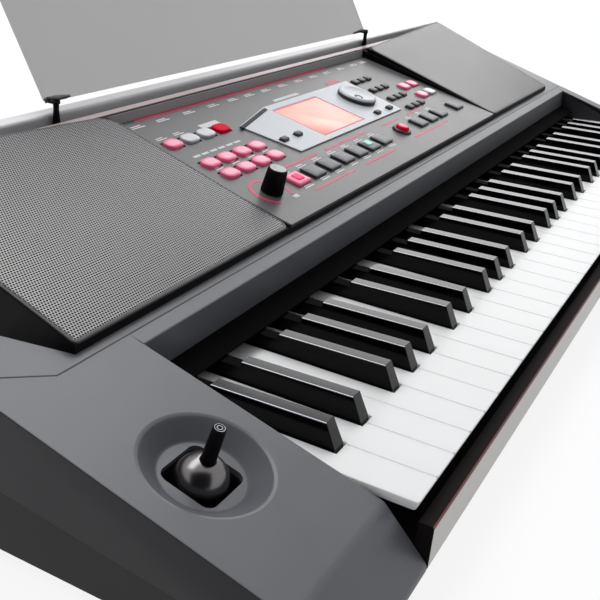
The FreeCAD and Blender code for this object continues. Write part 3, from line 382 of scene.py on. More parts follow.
def makeWhiteKeys(note, place, before, after):
    s = keySizes
    bm = bmesh.new()
    octave = s["pitch"] * 7  # seven white keys
    for i in range(s["octaves"] + (1 if note == "c" else 0)):
        shift = lines["keysLeft"] + octave * i
        left = shift + s["pitch"] * place + s["gap"] / 2
        right = left + s["pitch"] - s["gap"]
        tailLeft = left
        tailRight = right
        if before:
            tailLeft = shift + s["blackLeft"][before] + s["blackWidth"] + s["blackSideGap"]
        if after and i < s["octaves"]:
            tailRight = shift + s["blackLeft"][after] - s["blackSideGap"]
        addWhiteKey(bm, left, right, tailLeft, tailRight)
    body = "keys_" + note
    piece = addPiece("whiteKeys_" + note, bm, ["keyWhite"], "key_white", body, body)
    softEdges(piece, s["whiteRound"])


def makeBlackKeys(note):
    s = keySizes
    bm = bmesh.new()
    front = lines["keyFront"]
    top = lines["whiteTop"]
    tip = front + s["blackFront"]
    cap = front + s["capEnd"]
    profile = [
        (tip, top - s["chin"]), (tip + 0.3, top), (tip + s["blackLean"], top + s["blackRise"]),
        (cap, top + s["blackRise"] - s["capDrop"]), (cap, top + s["tailRise"]),
        (s["end"], top + s["tailRise"]), (s["end"], top - s["height"]),
        (tip + s["blackLean"], top - s["height"]),
    ]
    lean = [max(0.0, (z - top) / s["blackRise"]) * s["sideLean"] for y, z in profile]
    drop = [s["edge"] if spot in (2, 3) else 0.0 for spot in range(len(profile))]  # the cap's edge strip, painted pale as a glint
    for i in range(s["octaves"]):
        left = lines["keysLeft"] + s["pitch"] * 7 * i + s["blackLeft"][note]
        right = left + s["blackWidth"]
        sides = [[(left + n, y, z - d) for (y, z), n, d in zip(profile, lean, drop)],
                 [(left + n + s["edge"], y, z) for (y, z), n in zip(profile, lean)],
                 [(right - n, y, z) for (y, z), n in zip(profile, lean)]]
        addLoft(bm, sides)
    for face in bm.faces:  # gloss sides, satin top and front, an edge painted pale as a glint, matt tail
        face.normal_update()
        if abs(face.normal.x) < 0.3:
            face.material_index = 1 if face.calc_center_median().y < cap - 1 else 3
        elif abs(face.normal.z) > 0.5:
            face.material_index = 2
    body = "keys_%s_sharp" % note
    looks = ["keyGloss", "keySatin", "keyPaintedGlint", "keyTail"]
    piece = addPiece("blackKeys_" + note, bm, looks, "key_black", body, body)
    softEdges(piece, s["blackRound"], 2, 20)


# each white key with its place in the octave and the black keys before and after it
whiteNotes = (
    ("c", 0, None, "c"), ("d", 1, "c", "d"), ("e", 2, "d", None), ("f", 3, None, "f"),
    ("g", 4, "f", "g"), ("a", 5, "g", "a"), ("b", 6, "a", None),
)
for note, place, before, after in whiteNotes:
    makeWhiteKeys(note, place, before, after)
for note in keySizes["blackLeft"]:
    makeBlackKeys(note)
print("keys made")

# Key slip: matt on top, gloss in front, with a thin red line along the edge; the front's pale colour is a
# painted reflection of the floor
slipSizes = {
    "left": -390.5, "right": 459.5, "back": -170.0, "top": 38.0, "low": 15.2, "lowBack": 16.5,
    "line": 1.1, "edgeRound": 0.3,
}


def makeKeySlip():
    s = slipSizes
    bm = bmesh.new()
    front = lines["front"]
    addPrism(bm, [(front, s["low"]), (front, s["top"] - s["line"]), (front + s["line"] * 0.7, s["top"]),
                  (s["back"], s["top"]), (s["back"], s["lowBack"])], s["left"], s["right"])
    for face in bm.faces:
        middle = face.calc_center_median()
        # the front faces take the pale painted reflection
        if middle.y < front + 0.1:
            face.material_index = 1
        elif middle.y < front + s["line"]:
            face.material_index = 2
    looks = ["slipBlack", "slipPaintedReflection", "slipLine"]
    piece = addPiece("keySlip", bm, looks, "case_lower", "case", "key_slip")
    softEdges(piece, s["edgeRound"], 2)


makeKeySlip()

# Left cheek with the joystick's dish moulded into it
dishSizes = {
    "radius": 30.5, "floorRadius": 21.2, "depth": 8.0, "rimRound": 1.6, "steps": 72,
    "hole": 29.4, "holeRound": 5.0, "holeWall": 3.0, "chin": 17.5, "nose": -154.0,
    "partingHeight": 39.6, "partingSlope": math.radians(7.8),
    "cornerWidth": 36.0, "cornerDepth": 23.4, "edgeRound": 2.2,
}


def squareSpot(angle, half, radius):  # a spot on a rounded square's outline, towards the angle
    dx = math.cos(angle)
    dy = math.sin(angle)
    reach = half / max(abs(dx), abs(dy))
    inner = half - radius
    x = dx * reach
    y = dy * reach
    if abs(x) > inner and abs(y) > inner:
        cx = math.copysign(inner, x)
        cy = math.copysign(inner, y)
        along = dx * cx + dy * cy
        reach = along + math.sqrt(max(0.0, along * along - cx * cx - cy * cy + radius * radius))
        x = dx * reach
        y = dy * reach
    return x, y


def makeLeftCheek():
    s = dishSizes
    bm = bmesh.new()
    left = -lines["halfWidth"]
    right = lines["wellLeft"]
    front = lines["front"]
    back = lines["seamY"]
    nose = s["nose"]

    def parting(y):
        return s["partingHeight"] + y * math.tan(s["partingSlope"])

    sides = []
    for x, tops in ((left, [nose, back + s["cornerDepth"]]), (right, [nose, lines["bendY"], back])):
        profile = [(front, parting(front)), (front, s["chin"])] + [(y, deckZ(y)) for y in tops]
        profile.append((tops[-1], parting(tops[-1])))
        sides.append([bm.verts.new((x, y, z)) for y, z in profile])
    turn = [bm.verts.new((left + s["cornerWidth"], back, z)) for z in (deckZ(back), parting(back))]
    for i in (0, 1):
        bm.faces.new((sides[0][i], sides[0][i + 1], sides[1][i + 1], sides[1][i]))
    # the outer left wall is painted much darker than the case top, a painted shade; the wall by the keys
    # keeps the case colour
    for side, finish in zip(sides, (2, 0)):
        bm.faces.new(side).material_index = finish
        bm.faces.new((side[-2], side[-1], turn[1], turn[0]))
    # the dish: rings from the rim down to the floor, in to the square hole and down its wall
    slant = (s["radius"] - s["floorRadius"]) / s["depth"]
    section = [
        (s["radius"] + s["rimRound"], 0.0), (s["radius"] + 0.6, -0.12), (s["radius"] - 0.2, -0.6),
        (s["radius"] - 1.6 * slant, -1.6), (s["floorRadius"] + 0.7, -s["depth"] + 0.5),
        (s["floorRadius"] - 0.2, -s["depth"] + 0.05), (s["floorRadius"] - 0.8, -s["depth"]),
    ]
    count = s["steps"]
    rings = [[onCheek(x, y, up) for x, y in circleOf(radius, count)] for radius, up in section]
    hole = [squareSpot(2 * math.pi * i / count, s["hole"] / 2, s["holeRound"]) for i in range(count)]
    rings += [[onCheek(x, y, up) for x, y in hole] for up in (-s["depth"], -s["depth"] - s["holeWall"])]
    rings.append([(spot.x, spot.y, parting(spot.y)) for spot in rings[-1]])
    # the dish's sloping wall and the top of the hole's wall take their own copy of the case colour, set for
    # their light and shade, which is painted shading; the flat floor keeps the case colour and the deep part
    # of the hole is painted dark, a painted shade
    loops = addLoft(bm, rings, False, False, [0, 0, 1, 1, 1, 1, 0, 1, 2])
    topBorder = [sides[0][2], sides[1][2], sides[1][3], sides[1][4], turn[0], sides[0][3]]
    lowBorder = [sides[0][0], sides[1][0], sides[1][-1], turn[1], sides[0][-1]]
    for ring, border in ((loops[0], topBorder), (loops[-1], lowBorder)):
        edges = [bm.edges.get(pair) for loop in (ring, border) for pair in zip(loop, loop[1:] + loop[:1])]
        bmesh.ops.triangle_fill(bm, use_beauty=True, edges=edges)
    weight = bm.edges.layers.float.new("bevel_weight_edge")
    for a, b, amount in ((0, 1, 0.8), (1, 2, 0.6), (2, 3, 0.3)):
        for side in sides:
            bm.edges.get((side[a], side[b]))[weight] = amount
    for i in (1, 2):
        bm.edges.get((sides[0][i], sides[1][i]))[weight] = 1.0
    for side in sides:
        bm.edges.get((side[-2], turn[0]))[weight] = 0.25
    looks = ["caseTop", "dishPaintedShading", "wallPaintedShade"]
    piece = addPiece("leftCheek", bm, looks, "case_top", "case", "left_cheek", "joystick_dish")
    square = Vector((0, -math.sin(lines["deckSlope"]), math.cos(lines["deckSlope"])))
    for face in piece.data.polygons:  # the plane round the dish is shaded flat
        if face.normal.dot(square) > 0.99999:
            face.use_smooth = False
    bevel = piece.modifiers.new("softEdges", "BEVEL")
    bevel.width = s["edgeRound"] * metres
    bevel.segments = 4
    bevel.limit_method = "WEIGHT"
    evenShade(piece)


# Painted shade: a dark sheet on the wall at the right end of the keys, standing in for the shadow on that
# wall
rightShadeSizes = {
    "cheek": 18.5, "proud": 0.3, "sunk": 0.2, "clear": 0.5, "bendClear": 0.6,
    "chin": (-176.0, 20.0), "heel": (-168.0, 30.0), "backLow": 40.0,
}


def makeRightShadeSheet():
    s = rightShadeSizes
    wall = lines["halfWidth"] - s["cheek"]
    nose = dishSizes["nose"]
    back = lines["bendY"] - s["bendClear"]
    outline = [s["chin"], (nose, deckZ(nose) - s["clear"]), (back, lines["bendZ"] - s["clear"]),
               (back, s["backLow"]), s["heel"]]
    addFacing("rightShadeSheet", outline, wall - s["proud"], wall + s["sunk"], "wallPaintedShade", "case_top")


makeLeftCheek()
makeRightShadeSheet()
print("strip and cheeks made")

# Joystick: satin ball with a tapered stick and a ringed top
stickSizes = {
    "ball": 13.1, "depth": 11.0, "skirt": 6.0, "base": 3.6, "top": 3.1, "rise": 20.6, "sheet": 1.2,
    "innerSteps": 8, "outerSteps": 14,
}


def ballArc(radius, start, end, steps):
    arc = []
    for i in range(steps + 1):
        angle = start + (end - start) * i / steps
        arc.append((radius * math.cos(angle), radius * math.sin(angle) - stickSizes["depth"]))
    return arc


def turnedOnCheek(bm, rings, finish=0):
    addLoft(bm, [[onCheek(x, y, up) for x, y in circleOf(r)] for r, up in rings], finish=finish)


def makeJoystick():
    s = stickSizes
    bm = bmesh.new()
    low = -math.asin(s["skirt"] / s["ball"])
    high = math.acos(s["base"] / s["ball"])
    inner = s["ball"] - s["sheet"]
    innerLow = -math.asin(s["skirt"] / inner)
    rings = ballArc(inner, innerLow, math.pi / 2 - 0.05, s["innerSteps"])[::-1]
    rings += ballArc(s["ball"], low, high, s["outerSteps"])
    turnedOnCheek(bm, rings)
    join = rings[-1][1]
    stem = [
        (s["base"] + 0.5, join - 0.5), (s["base"] + 0.05, join + 0.6), (s["base"] - 0.1, join + 3),
        (s["top"] + 0.05, s["rise"] - 1.2), (s["top"], s["rise"] - 0.5),
        (s["top"] - 0.35, s["rise"] - 0.08), (s["top"] - 0.6, s["rise"]),
    ]
    grooves = [
        (2.15, 0.0), (2.0, -0.35), (1.6, -0.35), (1.45, 0.0),
        (0.95, 0.0), (0.8, -0.35), (0.45, -0.35), (0.3, 0.0),
    ]
    stem += [(r, s["rise"] + dz) for r, dz in grooves]
    turnedOnCheek(bm, stem, [1] * 6 + [2, 1, 1, 1] * 2)
    looks = ["ballBlack", "stickBlack", "knobGrey"]
    piece = addPiece("joystick", bm, looks, "stick", "joystick_stick", "joystick_stick")
    evenShade(piece)


makeJoystick()
print("joystick made")

# Perforated grilles: a staggered field of pits in a twisted sheet, with rounded corners and a folded rim; the
# pits are painted near black, partly for the dark speaker behind and partly as painted shade, and the rim is
# painted dark, a painted shade
grilleSizes = {
    "inner": 218.0, "outer": 424.0, "front": -5.0, "back": 145.0, "slopeInner": math.radians(16.6),
    "slopeOuter": math.radians(20.2), "sheet": 1.4, "pitch": 1.8, "hole": 0.68, "pit": 0.5,
    "dip": 0.15, "skirt": 0.8, "rim": 1.0, "rimLap": 0.8, "roll": 1.0, "rollReach": 20.0,
    "corners": (7.0, 3.0, 7.0, 13.0),
}


def grilleZ(x, y):
    s = grilleSizes
    share = (abs(x) - s["inner"]) / (s["outer"] - s["inner"])
    inner = math.tan(s["slopeInner"])
    rolled = max(0.0, (y - s["back"] + s["rollReach"]) / s["rollReach"])
    return (lines["moduleZ"] + (y - s["front"]) * (inner + (math.tan(s["slopeOuter"]) - inner) * share)
            - s["roll"] * rolled * rolled)


def grilleCorners():  # middle and radius of each rounded corner, with the way it points
    s = grilleSizes
    spots = ((s["inner"], s["front"], -1, -1), (s["outer"], s["front"], 1, -1), (s["outer"], s["back"], 1, 1),
             (s["inner"], s["back"], -1, 1))
    return [(x - sx * r, y - sy * r, r, sx, sy) for (x, y, sx, sy), r in zip(spots, s["corners"])]


def grilleOutline(away, steps=6):
    outline = []
    for place, (x, y, radius, sx, sy) in enumerate(grilleCorners()):
        for i in range(steps + 1):
            angle = math.radians(180 + 90 * place + 90 * i / steps)
            outline.append((x + (radius - away) * math.cos(angle), y + (radius - away) * math.sin(angle)))
    return outline


def insideGrille(x, y, away):
    s = grilleSizes
    if not (s["inner"] + away < x < s["outer"] - away and s["front"] + away < y < s["back"] - away):
        return False
    for cx, cy, radius, sx, sy in grilleCorners():
        if (x - cx) * sx > 0 and (y - cy) * sy > 0 and math.hypot(x - cx, y - cy) > radius - away:
            return False
    return True


def makeGrille(side, sign):
    s = grilleSizes
    bm = bmesh.new()
    pitch = s["pitch"]
    rowStep = pitch * math.sqrt(3) / 2
    reach = pitch / math.sqrt(3)
    angles = [math.radians(30 + 60 * i) for i in range(6)]
    known = {}

    def corner(x, y):  # the six-sided fields round the holes share their corners
        key = (round(x, 2), round(y, 2))
        if key not in known:
            known[key] = bm.verts.new((sign * x, y, grilleZ(x, y) - s["dip"]))
        return known[key]

    def addHole(x, y):
        outer = [corner(x + reach * math.cos(a), y + reach * math.sin(a)) for a in angles]
        ring = []
        for a in angles:
            px = x + s["hole"] * math.cos(a)
            py = y + s["hole"] * math.sin(a)
            ring.append(bm.verts.new((sign * px, py, grilleZ(x, py) - s["dip"])))
        pit = bm.verts.new((sign * x, y, grilleZ(x, y) - s["pit"]))
        # the pit faces are painted near black: partly the dark speaker behind, partly painted shade
        for i in range(6):
            j = (i + 1) % 6
            bm.faces.new((outer[i], outer[j], ring[j], ring[i]))
            bm.faces.new((ring[i], ring[j], pit)).material_index = 1

    for row in range(int((s["back"] - s["front"]) / rowStep)):
        y = s["front"] + rowStep * (row + 0.5)
        for column in range(int((s["outer"] - s["inner"]) / pitch)):
            x = s["inner"] + pitch * (column + 0.5 + (0.5 if row % 2 else 0.0))
            if insideGrille(x, y, s["rim"] + reach):
                addHole(x, y)
    border = [edge for edge in bm.edges if edge.is_boundary]
    lower = bmesh.ops.extrude_edge_only(bm, edges=border)["geom"]
    lowSpots = [v for v in lower if isinstance(v, bmesh.types.BMVert)]
    bmesh.ops.translate(bm, vec=(0, 0, -s["skirt"]), verts=lowSpots)
    rest = [edge for edge in lower if isinstance(edge, bmesh.types.BMEdge) and edge.is_boundary]
    bmesh.ops.triangle_fill(bm, use_beauty=False, edges=rest)
    lap = s["rim"] + s["rimLap"]
    section = [(0.0, -s["sheet"]), (0.0, -0.6), (0.25, -0.25), (0.6, -0.15), (lap, -0.2), (lap, -s["sheet"])]
    rings = []
    for away, up in section:
        rings.append([(sign * x, y, grilleZ(x, y) + up) for x, y in grilleOutline(away)])
    # the folded rim is painted dark, a painted shade
    addLoft(bm, rings + rings[:1], False, False, 2)
    rimSpots = [v for v in bm.verts if v.link_faces[0].material_index == 2]
    bmesh.ops.remove_doubles(bm, verts=rimSpots, dist=0.001)
    looks = ["grilleGrey", "pitBlackAndShade", "clipGreyAndRimShade"]
    addPiece("grilleSheet_" + side, bm, looks, "grille", "case", "grille_" + side)


for side, sign in (("left", -1), ("right", 1)):
    makeGrille(side, sign)
print("grilles made")

# Panel buttons: crowned caps, some lit
buttonSizes = {
    "pad": (16.0, 11.5, 4.8), "row": (18.0, 15.0, 1.2), "keypad": (10.0, 7.0, 1.6), "menu": (9.0, 5.0, 1.0),
    "rise": 2.2, "crown": 0.5, "round": 0.7, "under": -4.0, "menuLift": 1.2, "lampRound": 1.0,
}
padColumns = [-190 + 20.8 * i for i in range(4)]
rowColumns = [-149 + 25 * i for i in range(7)]
sideColumns = [86.5, 112.5, 138.5, 183.5]
rowAlong = 34.1
rowFinishes = ["buttonPink"] + ["buttonGrey"] * 6
cornerFinishes = ["buttonPink", "buttonWhite", "buttonWhite", "buttonRed"]
keypadSpots = [(119 + 14 * i, 57.3 + 20.5 * j) for j in range(4) for i in range(3)]
menuSpots = [(59.5, 65.9), (86.5, 65.9), (-94.9, 77.3), (-72.4, 77.3)]
# for each group the kind of cap, the slot and the caps with their place and finish
buttonGroups = {
    "pad_buttons": ("pad", "button_pink", [
        (x, along, "buttonPink") for along in (65.9, 82.9) for x in padColumns]),
    "corner_buttons": ("pad", "button_mixed", [
        (x, 115.7, finish) for x, finish in zip(padColumns, cornerFinishes)]),
    "row_buttons": ("row", "button_green", [
        (x, rowAlong, finish) for x, finish in zip(rowColumns, rowFinishes)]),
    "side_buttons": ("row", "button_grey", [(x, rowAlong, "buttonGrey") for x in sideColumns]),
    "keypad_buttons": ("keypad", "button_dark", [(x, along, "buttonDark") for x, along in keypadSpots]),
    "patch_buttons": ("pad", "button_pink", [
        (173.5, 66.9, "buttonPink"), (194, 66.9, "buttonWhite"),
        (173.5, 87.8, "buttonPink"), (194, 87.8, "buttonPink")]),
    "menu_buttons": ("menu", "button_grey", [(x, along, "buttonDark") for x, along in menuSpots]),
}
buttonMiddles = {"buttonPink": "buttonLit"}
buttonSkirts = {"buttonGrey": "buttonDark"}
buttonLamps = {  # place, width, depth and finish of a lens on a cap
    "row_buttons": [(-149.0, rowAlong, 9.0, 8.0, "buttonRose"), (-25.0, 35.5, 9.0, 7.0, "buttonGreen")],
}


def addOnPanel(bm, x, along, rings, finish=0):
    addLoft(bm, [[onPanel(x + px, along + py, up) for px, py, up in ring] for ring in rings], finish=finish)


def shrink(outline, inset, up):
    wide = max(p[0] for p in outline)
    deep = max(p[1] for p in outline)
    return [(px * (wide - inset) / wide, py * (deep - inset) / deep, up) for px, py in outline]


def addCap(bm, x, along, outline, base, top, bands):
    s = buttonSizes
    rings = []
    for inset, up in ((0.0, base), (0.0, top - s["round"]), (0.2, top - 0.25), (s["round"], top)):
        rings.append(shrink(outline, inset, up))
    for share, rise in ((0.72, 0.35), (0.4, 0.6)):
        rings.append([(px * share, py * share, top + s["crown"] * rise) for px, py, up in rings[3]])
    addOnPanel(bm, x, along, rings, bands)


def makeButtons(group):
    s = buttonSizes
    kind, slotName, caps = buttonGroups[group]
    width, depth, radius = s[kind]
    outline = roundedRect(width, depth, radius)
    lift = s["menuLift"] if kind == "menu" else 0.0
    lamps = buttonLamps.get(group, [])
    used = {finish for x, along, finish in caps} | {lamp[4] for lamp in lamps}
    used |= {table[finish] for table in (buttonMiddles, buttonSkirts) for finish in used if finish in table}
    used = sorted(used)
    bm = bmesh.new()
    for x, along, finish in caps:
        skirt = used.index(buttonSkirts.get(finish, finish))
        middle = used.index(buttonMiddles.get(finish, finish))
        top = used.index(finish)
        addCap(bm, x, along, outline, s["under"], s["rise"] + lift, [skirt, skirt, top, top, middle])
    high = s["rise"] + s["crown"]
    lens = ((0.0, -1.0), (0.0, 0.0), (0.2, 0.25), (0.5, 0.35), (1.2, 0.4))  # inset, and height on the cap
    for x, along, wide, deep, finish in lamps:
        outline = roundedRect(wide, deep, s["lampRound"])
        rings = [shrink(outline, inset, high + up) for inset, up in lens]
        addOnPanel(bm, x, along, rings, used.index(finish))
    addPiece("caps_" + group, bm, used, slotName, group, group)


for group in buttonGroups:
    makeButtons(group)
print("panel buttons made")

# Start button, volume knob and data dial
roundSizes = {
    "start": (46.3, 34.1, 8.5),  # place and radius
    "dial": (73.9, 95.5, 18.5),
    "dimple": (-7.5, -5.0),  # from the dial's middle
    "knob": (-185.5, 34.1, 8.0, 6.8, 18.0),  # place, both radii and height
    "ribs": 36, "ribDepth": 0.22, "shaft": 3.0, "shaftEnd": -7.6, "markHalf": 0.45,
}


def turnedOnPanel(bm, x, along, rings, finish=0, count=64):
    addOnPanel(bm, x, along, [[(px, py, up) for px, py in circleOf(r, count)] for r, up in rings], finish)


def makeStartButton():
    x, along, radius = roundSizes["start"]
    bm = bmesh.new()
    collar = [(radius, -4.0), (radius, 1.4), (radius - 0.6, 2.1), (radius - 2.2, 2.2), (radius - 2.6, 1.7)]
    turnedOnPanel(bm, x, along, collar)
    cap = [(radius - 2.4, 1.0), (radius - 2.4, 3.0), (radius - 2.9, 4.0), (radius - 4.2, 4.8), (1.5, 5.2)]
    turnedOnPanel(bm, x, along, cap, [1, 1, 1, 2])
    looks = ["buttonDark", "buttonRed", "buttonPink"]
    addPiece("startButton", bm, looks, "button_dark", "start_button", "start_button")


def makeVolumeKnob():
    s = roundSizes
    x, along, radius, topRadius, rise = s["knob"]
    count = s["ribs"] * 4
    bm = bmesh.new()
    rings = [
        (s["shaft"], s["shaftEnd"], 0), (s["shaft"], 0.3, 0), (radius - 0.4, 0.3, 0), (radius, 0.8, 1),
        (topRadius + 0.15, rise - 1.6, 1), (topRadius - 0.2, rise - 0.7, 0), (topRadius - 1.0, rise - 0.1, 0),
        (topRadius - 1.6, rise, 0), (topRadius - 3.4, rise, 0),
    ]
    loops = []
    for r, up, ribbed in rings:
        loop = []
        for i in range(count):
            angle = 2 * math.pi * i / count
            reach = r - (s["ribDepth"] * ribbed if i % 4 in (2, 3) else 0.0)
            loop.append((reach * math.cos(angle), reach * math.sin(angle), up))
        loops.append(loop)
    addOnPanel(bm, x, along, loops, [0] * 6 + [1] * 2)
    half = s["markHalf"]
    mark = [(-half, 1.6), (half, 1.6), (half, topRadius - 0.9), (-half, topRadius - 0.9)]
    addOnPanel(bm, x, along, [[(px, py, up) for px, py in mark] for up in (rise - 0.3, rise + 0.1)], 2)
    looks = ["stickBlack", "knobGrey", "printPale"]
    addPiece("volumeKnob", bm, looks, "knob", "volume_knob", "volume_knob")


def makeDataDial():
    s = roundSizes
    x, along, radius = s["dial"]
    bm = bmesh.new()
    rings = [
        (s["shaft"], s["shaftEnd"]), (s["shaft"], 1.5), (radius - 0.5, 1.5), (radius, 2.0), (radius, 4.6),
        (radius - 0.5, 5.6), (radius - 1.6, 6.2), (radius - 3.2, 6.4), (radius - 4.6, 6.1),
        (radius - 6.5, 5.6), (2.0, 5.3),
    ]
    # the shaft, the underside and the lower side of the dial are dark; on the visible side this is painted
    # shade under the silver top
    turnedOnPanel(bm, x, along, rings, [1] * 4 + [0] * 6)
    addPiece("dataDial", bm, ["bezelSilver", "buttonDark"], "knob", "data_dial", "data_dial")
    dimple = bmesh.new()
    aside, ahead = s["dimple"]
    rings = [(4.2, 5.2), (4.2, 5.75), (3.8, 5.9), (3.2, 5.6), (1.0, 5.4)]
    turnedOnPanel(dimple, x + aside, along + ahead, rings)
    addPiece("dialDimple", dimple, ["buttonDark"], "knob", "data_dial")


makeStartButton()
makeVolumeKnob()
makeDataDial()
print("knob, dial and start button made")

# Display: silver bezel, lit window, its frame line, and a black bar along the bezel's slanted edge that is a
# painted shadow
displaySizes = {
    "left": -48.0, "right": 30.0, "front": 64.5, "back": 116.7, "corner": 1.2, "glass": 0.9,
    "barStart": (-111.5, 108.8), "barEnd": (-53.0, 122.2), "barWide": 3.2, "barLow": 1.0, "barHigh": 2.0,
    "barRound": 0.3, "bezelRound": 0.35,
}


def litDisplay():
    s = displaySizes
    finish, nodes, links, shader = finishNodes("litDisplay")
    spots = nodes.new("ShaderNodeTexCoord").outputs["Object"]
    split = nodes.new("ShaderNodeSeparateXYZ")
    links.new(spots, split.inputs[0])
    across = spread(nodes, links, split.outputs["X"], 0, 1, s["left"] * metres, s["right"] * metres)
    cloud = noiseOf(nodes, links, spots, 40)
    patches = spread(nodes, links, cloud, 0, 0.5, 0.35, 0.75)
    tone = mixColour(nodes, links, across, (0.85, 0.36, 0.28), (0.88, 0.47, 0.4))
    tone = mixColour(nodes, links, patches, tone, (0.9, 0.53, 0.46))
    links.new(tone, shader.inputs["Base Color"])
    links.new(tone, shader.inputs["Emission Color"])
    shader.inputs["Emission Strength"].default_value = 0.22
    links.new(spread(nodes, links, cloud, 0.3, 0.4), shader.inputs["Roughness"])
    return finish


def displayPlate(inset, up):
    s = displaySizes
    wide = s["right"] - s["left"] - 2 * inset
    deep = s["back"] - s["front"] - 2 * inset
    cx = (s["left"] + s["right"]) / 2
    cv = (s["front"] + s["back"]) / 2
    return [onPanel(cx + px, cv + py, up) for px, py in roundedRect(wide, deep, s["corner"])]


def makeDisplay():
    s = displaySizes
    bm = bmesh.new()
    addLoft(bm, [displayPlate(inset, up) for inset, up in ((0.0, 0.0), (0.0, 0.75), (0.15, s["glass"]))])
    finishes["litDisplay"] = litDisplay()
    addPiece("displayGlass", bm, ["litDisplay"], "display", "case", "display_glass")
    line = bmesh.new()
    section = ((0.3, 0.85), (0.3, 1.05), (1.6, 1.05), (1.6, 0.85), (0.3, 0.85))
    addLoft(line, [displayPlate(inset, up) for inset, up in section], False, False)
    bmesh.ops.remove_doubles(line, verts=line.verts, dist=0.001)
    addPiece("displayLine", line, ["buttonPink"], "display", "case")
    # a black bar along the bezel's slanted edge: a painted shadow
    bar = bmesh.new()
    (x0, v0), (x1, v1) = s["barStart"], s["barEnd"]
    reach = math.hypot(x1 - x0, v1 - v0)
    across = ((v0 - v1) / reach * s["barWide"], (x1 - x0) / reach * s["barWide"])
    corners = [(x0, v0), (x1, v1), (x1 - across[0], v1 - across[1]), (x0 - across[0], v0 - across[1])]
    addLoft(bar, [[onPanel(x, v, up) for x, v in corners] for up in (s["barLow"], s["barHigh"])])
    softEdges(addPiece("bezelShadowBar", bar, ["stickBlack"], "panel", "case"), s["barRound"], 2)


makeDisplay()
dressNode("display_bezel", "bezelSilver", displaySizes["bezelRound"])
print("display made")

# Printed marks on the panel: red rules, a red ring round the knob, pale bars and dark fields
printSizes = {
    "height": 0.12, "sunk": 0.05, "line": 2.0,
    "ring": 16.9, "ringLine": 2.7, "ringStart": -42, "ringEnd": 238, "ringSteps": 56,
    "rules": [  # along, from and to
        (50.6, -150.5, -88.5), (50.6, -73.5, 1.5), (49.6, 36.0, 70.5), (50.0, 95.0, 128.0),
        (17.6, -150.5, -84.5), (17.6, -63.5, -2.5), (19.9, 46.0, 128.5)],
    "redBars": [(77.5, 104.0, 128.5, 132.5), (-184.5, 120.0, 153.8, 157.2)],
    "paleBars": [(-141.0, -117.0, 122.6, 128.6), (-24.0, 20.0, 127.6, 131.2), (-177.0, -170.5, 19.0, 22.5)],
    "dashes": [(-193.0 + 10.6 * i, -184.5 + 10.6 * i, 94.2, 96.6) for i in range(6)],
    "topColumns": [-190, -160, -126, -92, -62, -36, -8, 22, 52, 82, 112, 142, 172, 196],
    "fieldHalf": 10.6, "fieldFront": 25.6, "fieldBack": 42.6, "fieldLift": 0.02,
}


def addMark(bm, x0, x1, v0, v1, finish, base=0.0):
    corners = ((x0, v0), (x1, v0), (x1, v1), (x0, v1))
    heights = (base - printSizes["sunk"], base + printSizes["height"])
    addLoft(bm, [[onPanel(x, v, up) for x, v in corners] for up in heights], finish=finish)


def addKnobRing(bm):
    s = printSizes
    x, along = roundSizes["knob"][:2]
    inner = s["ring"] - s["ringLine"]
    section = ((s["ring"], -s["sunk"]), (s["ring"], s["height"]), (inner, s["height"]), (inner, -s["sunk"]))
    arc = []
    for i in range(s["ringSteps"] + 1):
        angle = math.radians(s["ringStart"] + (s["ringEnd"] - s["ringStart"]) * i / s["ringSteps"])
        arc.append([onPanel(x + r * math.cos(angle), along + r * math.sin(angle), up) for r, up in section])
    addLoft(bm, arc)


def makePrints():
    s = printSizes
    bm = bmesh.new()
    red, pale, dark = range(3)
    for along, x0, x1 in s["rules"]:
        addMark(bm, x0, x1, along - s["line"] / 2, along + s["line"] / 2, red)
    for x0, x1, v0, v1 in s["redBars"]:
        addMark(bm, x0, x1, v0, v1, red)
    addKnobRing(bm)
    labels = [(x, 147.0, 15.0) for x in s["topColumns"]]  # place and length
    labels += [(x, 125.8, 12.0) for x in padColumns[:2]]
    labels += [(x, 75.0, 9.0) for x in padColumns]
    labels += [(x, 44.6, 13.0) for x in rowColumns]
    labels += [(x, 23.4, 13.0) for x in rowColumns]
    labels += [(x, 45.0, 12.0) for x in sideColumns[:3]]
    for cx, along, length in labels:  # two short bars each
        addMark(bm, cx - length / 2, cx + length / 2, along - 1.0, along + 0.2, pale)
        addMark(bm, cx - length / 2 + 1.0, cx + length / 2 - 3.0, along + 1.2, along + 2.4, pale)
    for x0, x1, v0, v1 in s["paleBars"] + s["dashes"]:
        addMark(bm, x0, x1, v0, v1, pale)
    half = s["fieldHalf"]
    for cx in rowColumns + sideColumns:
        addMark(bm, cx - half, cx + half, s["fieldFront"], s["fieldBack"], dark, s["fieldLift"])
    bmesh.ops.remove_doubles(bm, verts=bm.verts, dist=0.0005)
    addPiece("panelPrint", bm, ["printRed", "printPale", "buttonDark"], "panel", "case", smooth=False)


makePrints()
print("prints made")

# Trim behind the panel: a rose strip along the groove, a grey facing before it and a pale one on the rim; the
# strip's rose is a painted reflection, the grey facing paints light onto a back wall that sits in shadow, and
# the rim's pale colour is painted sheen
trimSizes = {
    "stripHalf": 423.0, "stripFront": 151.3, "stripBack": 158.7, "stripZ": 129.3,
    "wallHalf": 214.0, "wallY": 148.9, "wallLow": 121.4, "wallTop": 128.75,
    "rimHalf": 477.0, "rimFront": 166.0, "rimBack": 177.4, "rimLow": 125.0, "rimTop": 134.0,
    "rimRound": 2.2, "rimSteps": 10, "sheet": 0.25, "sunk": 0.1,
}


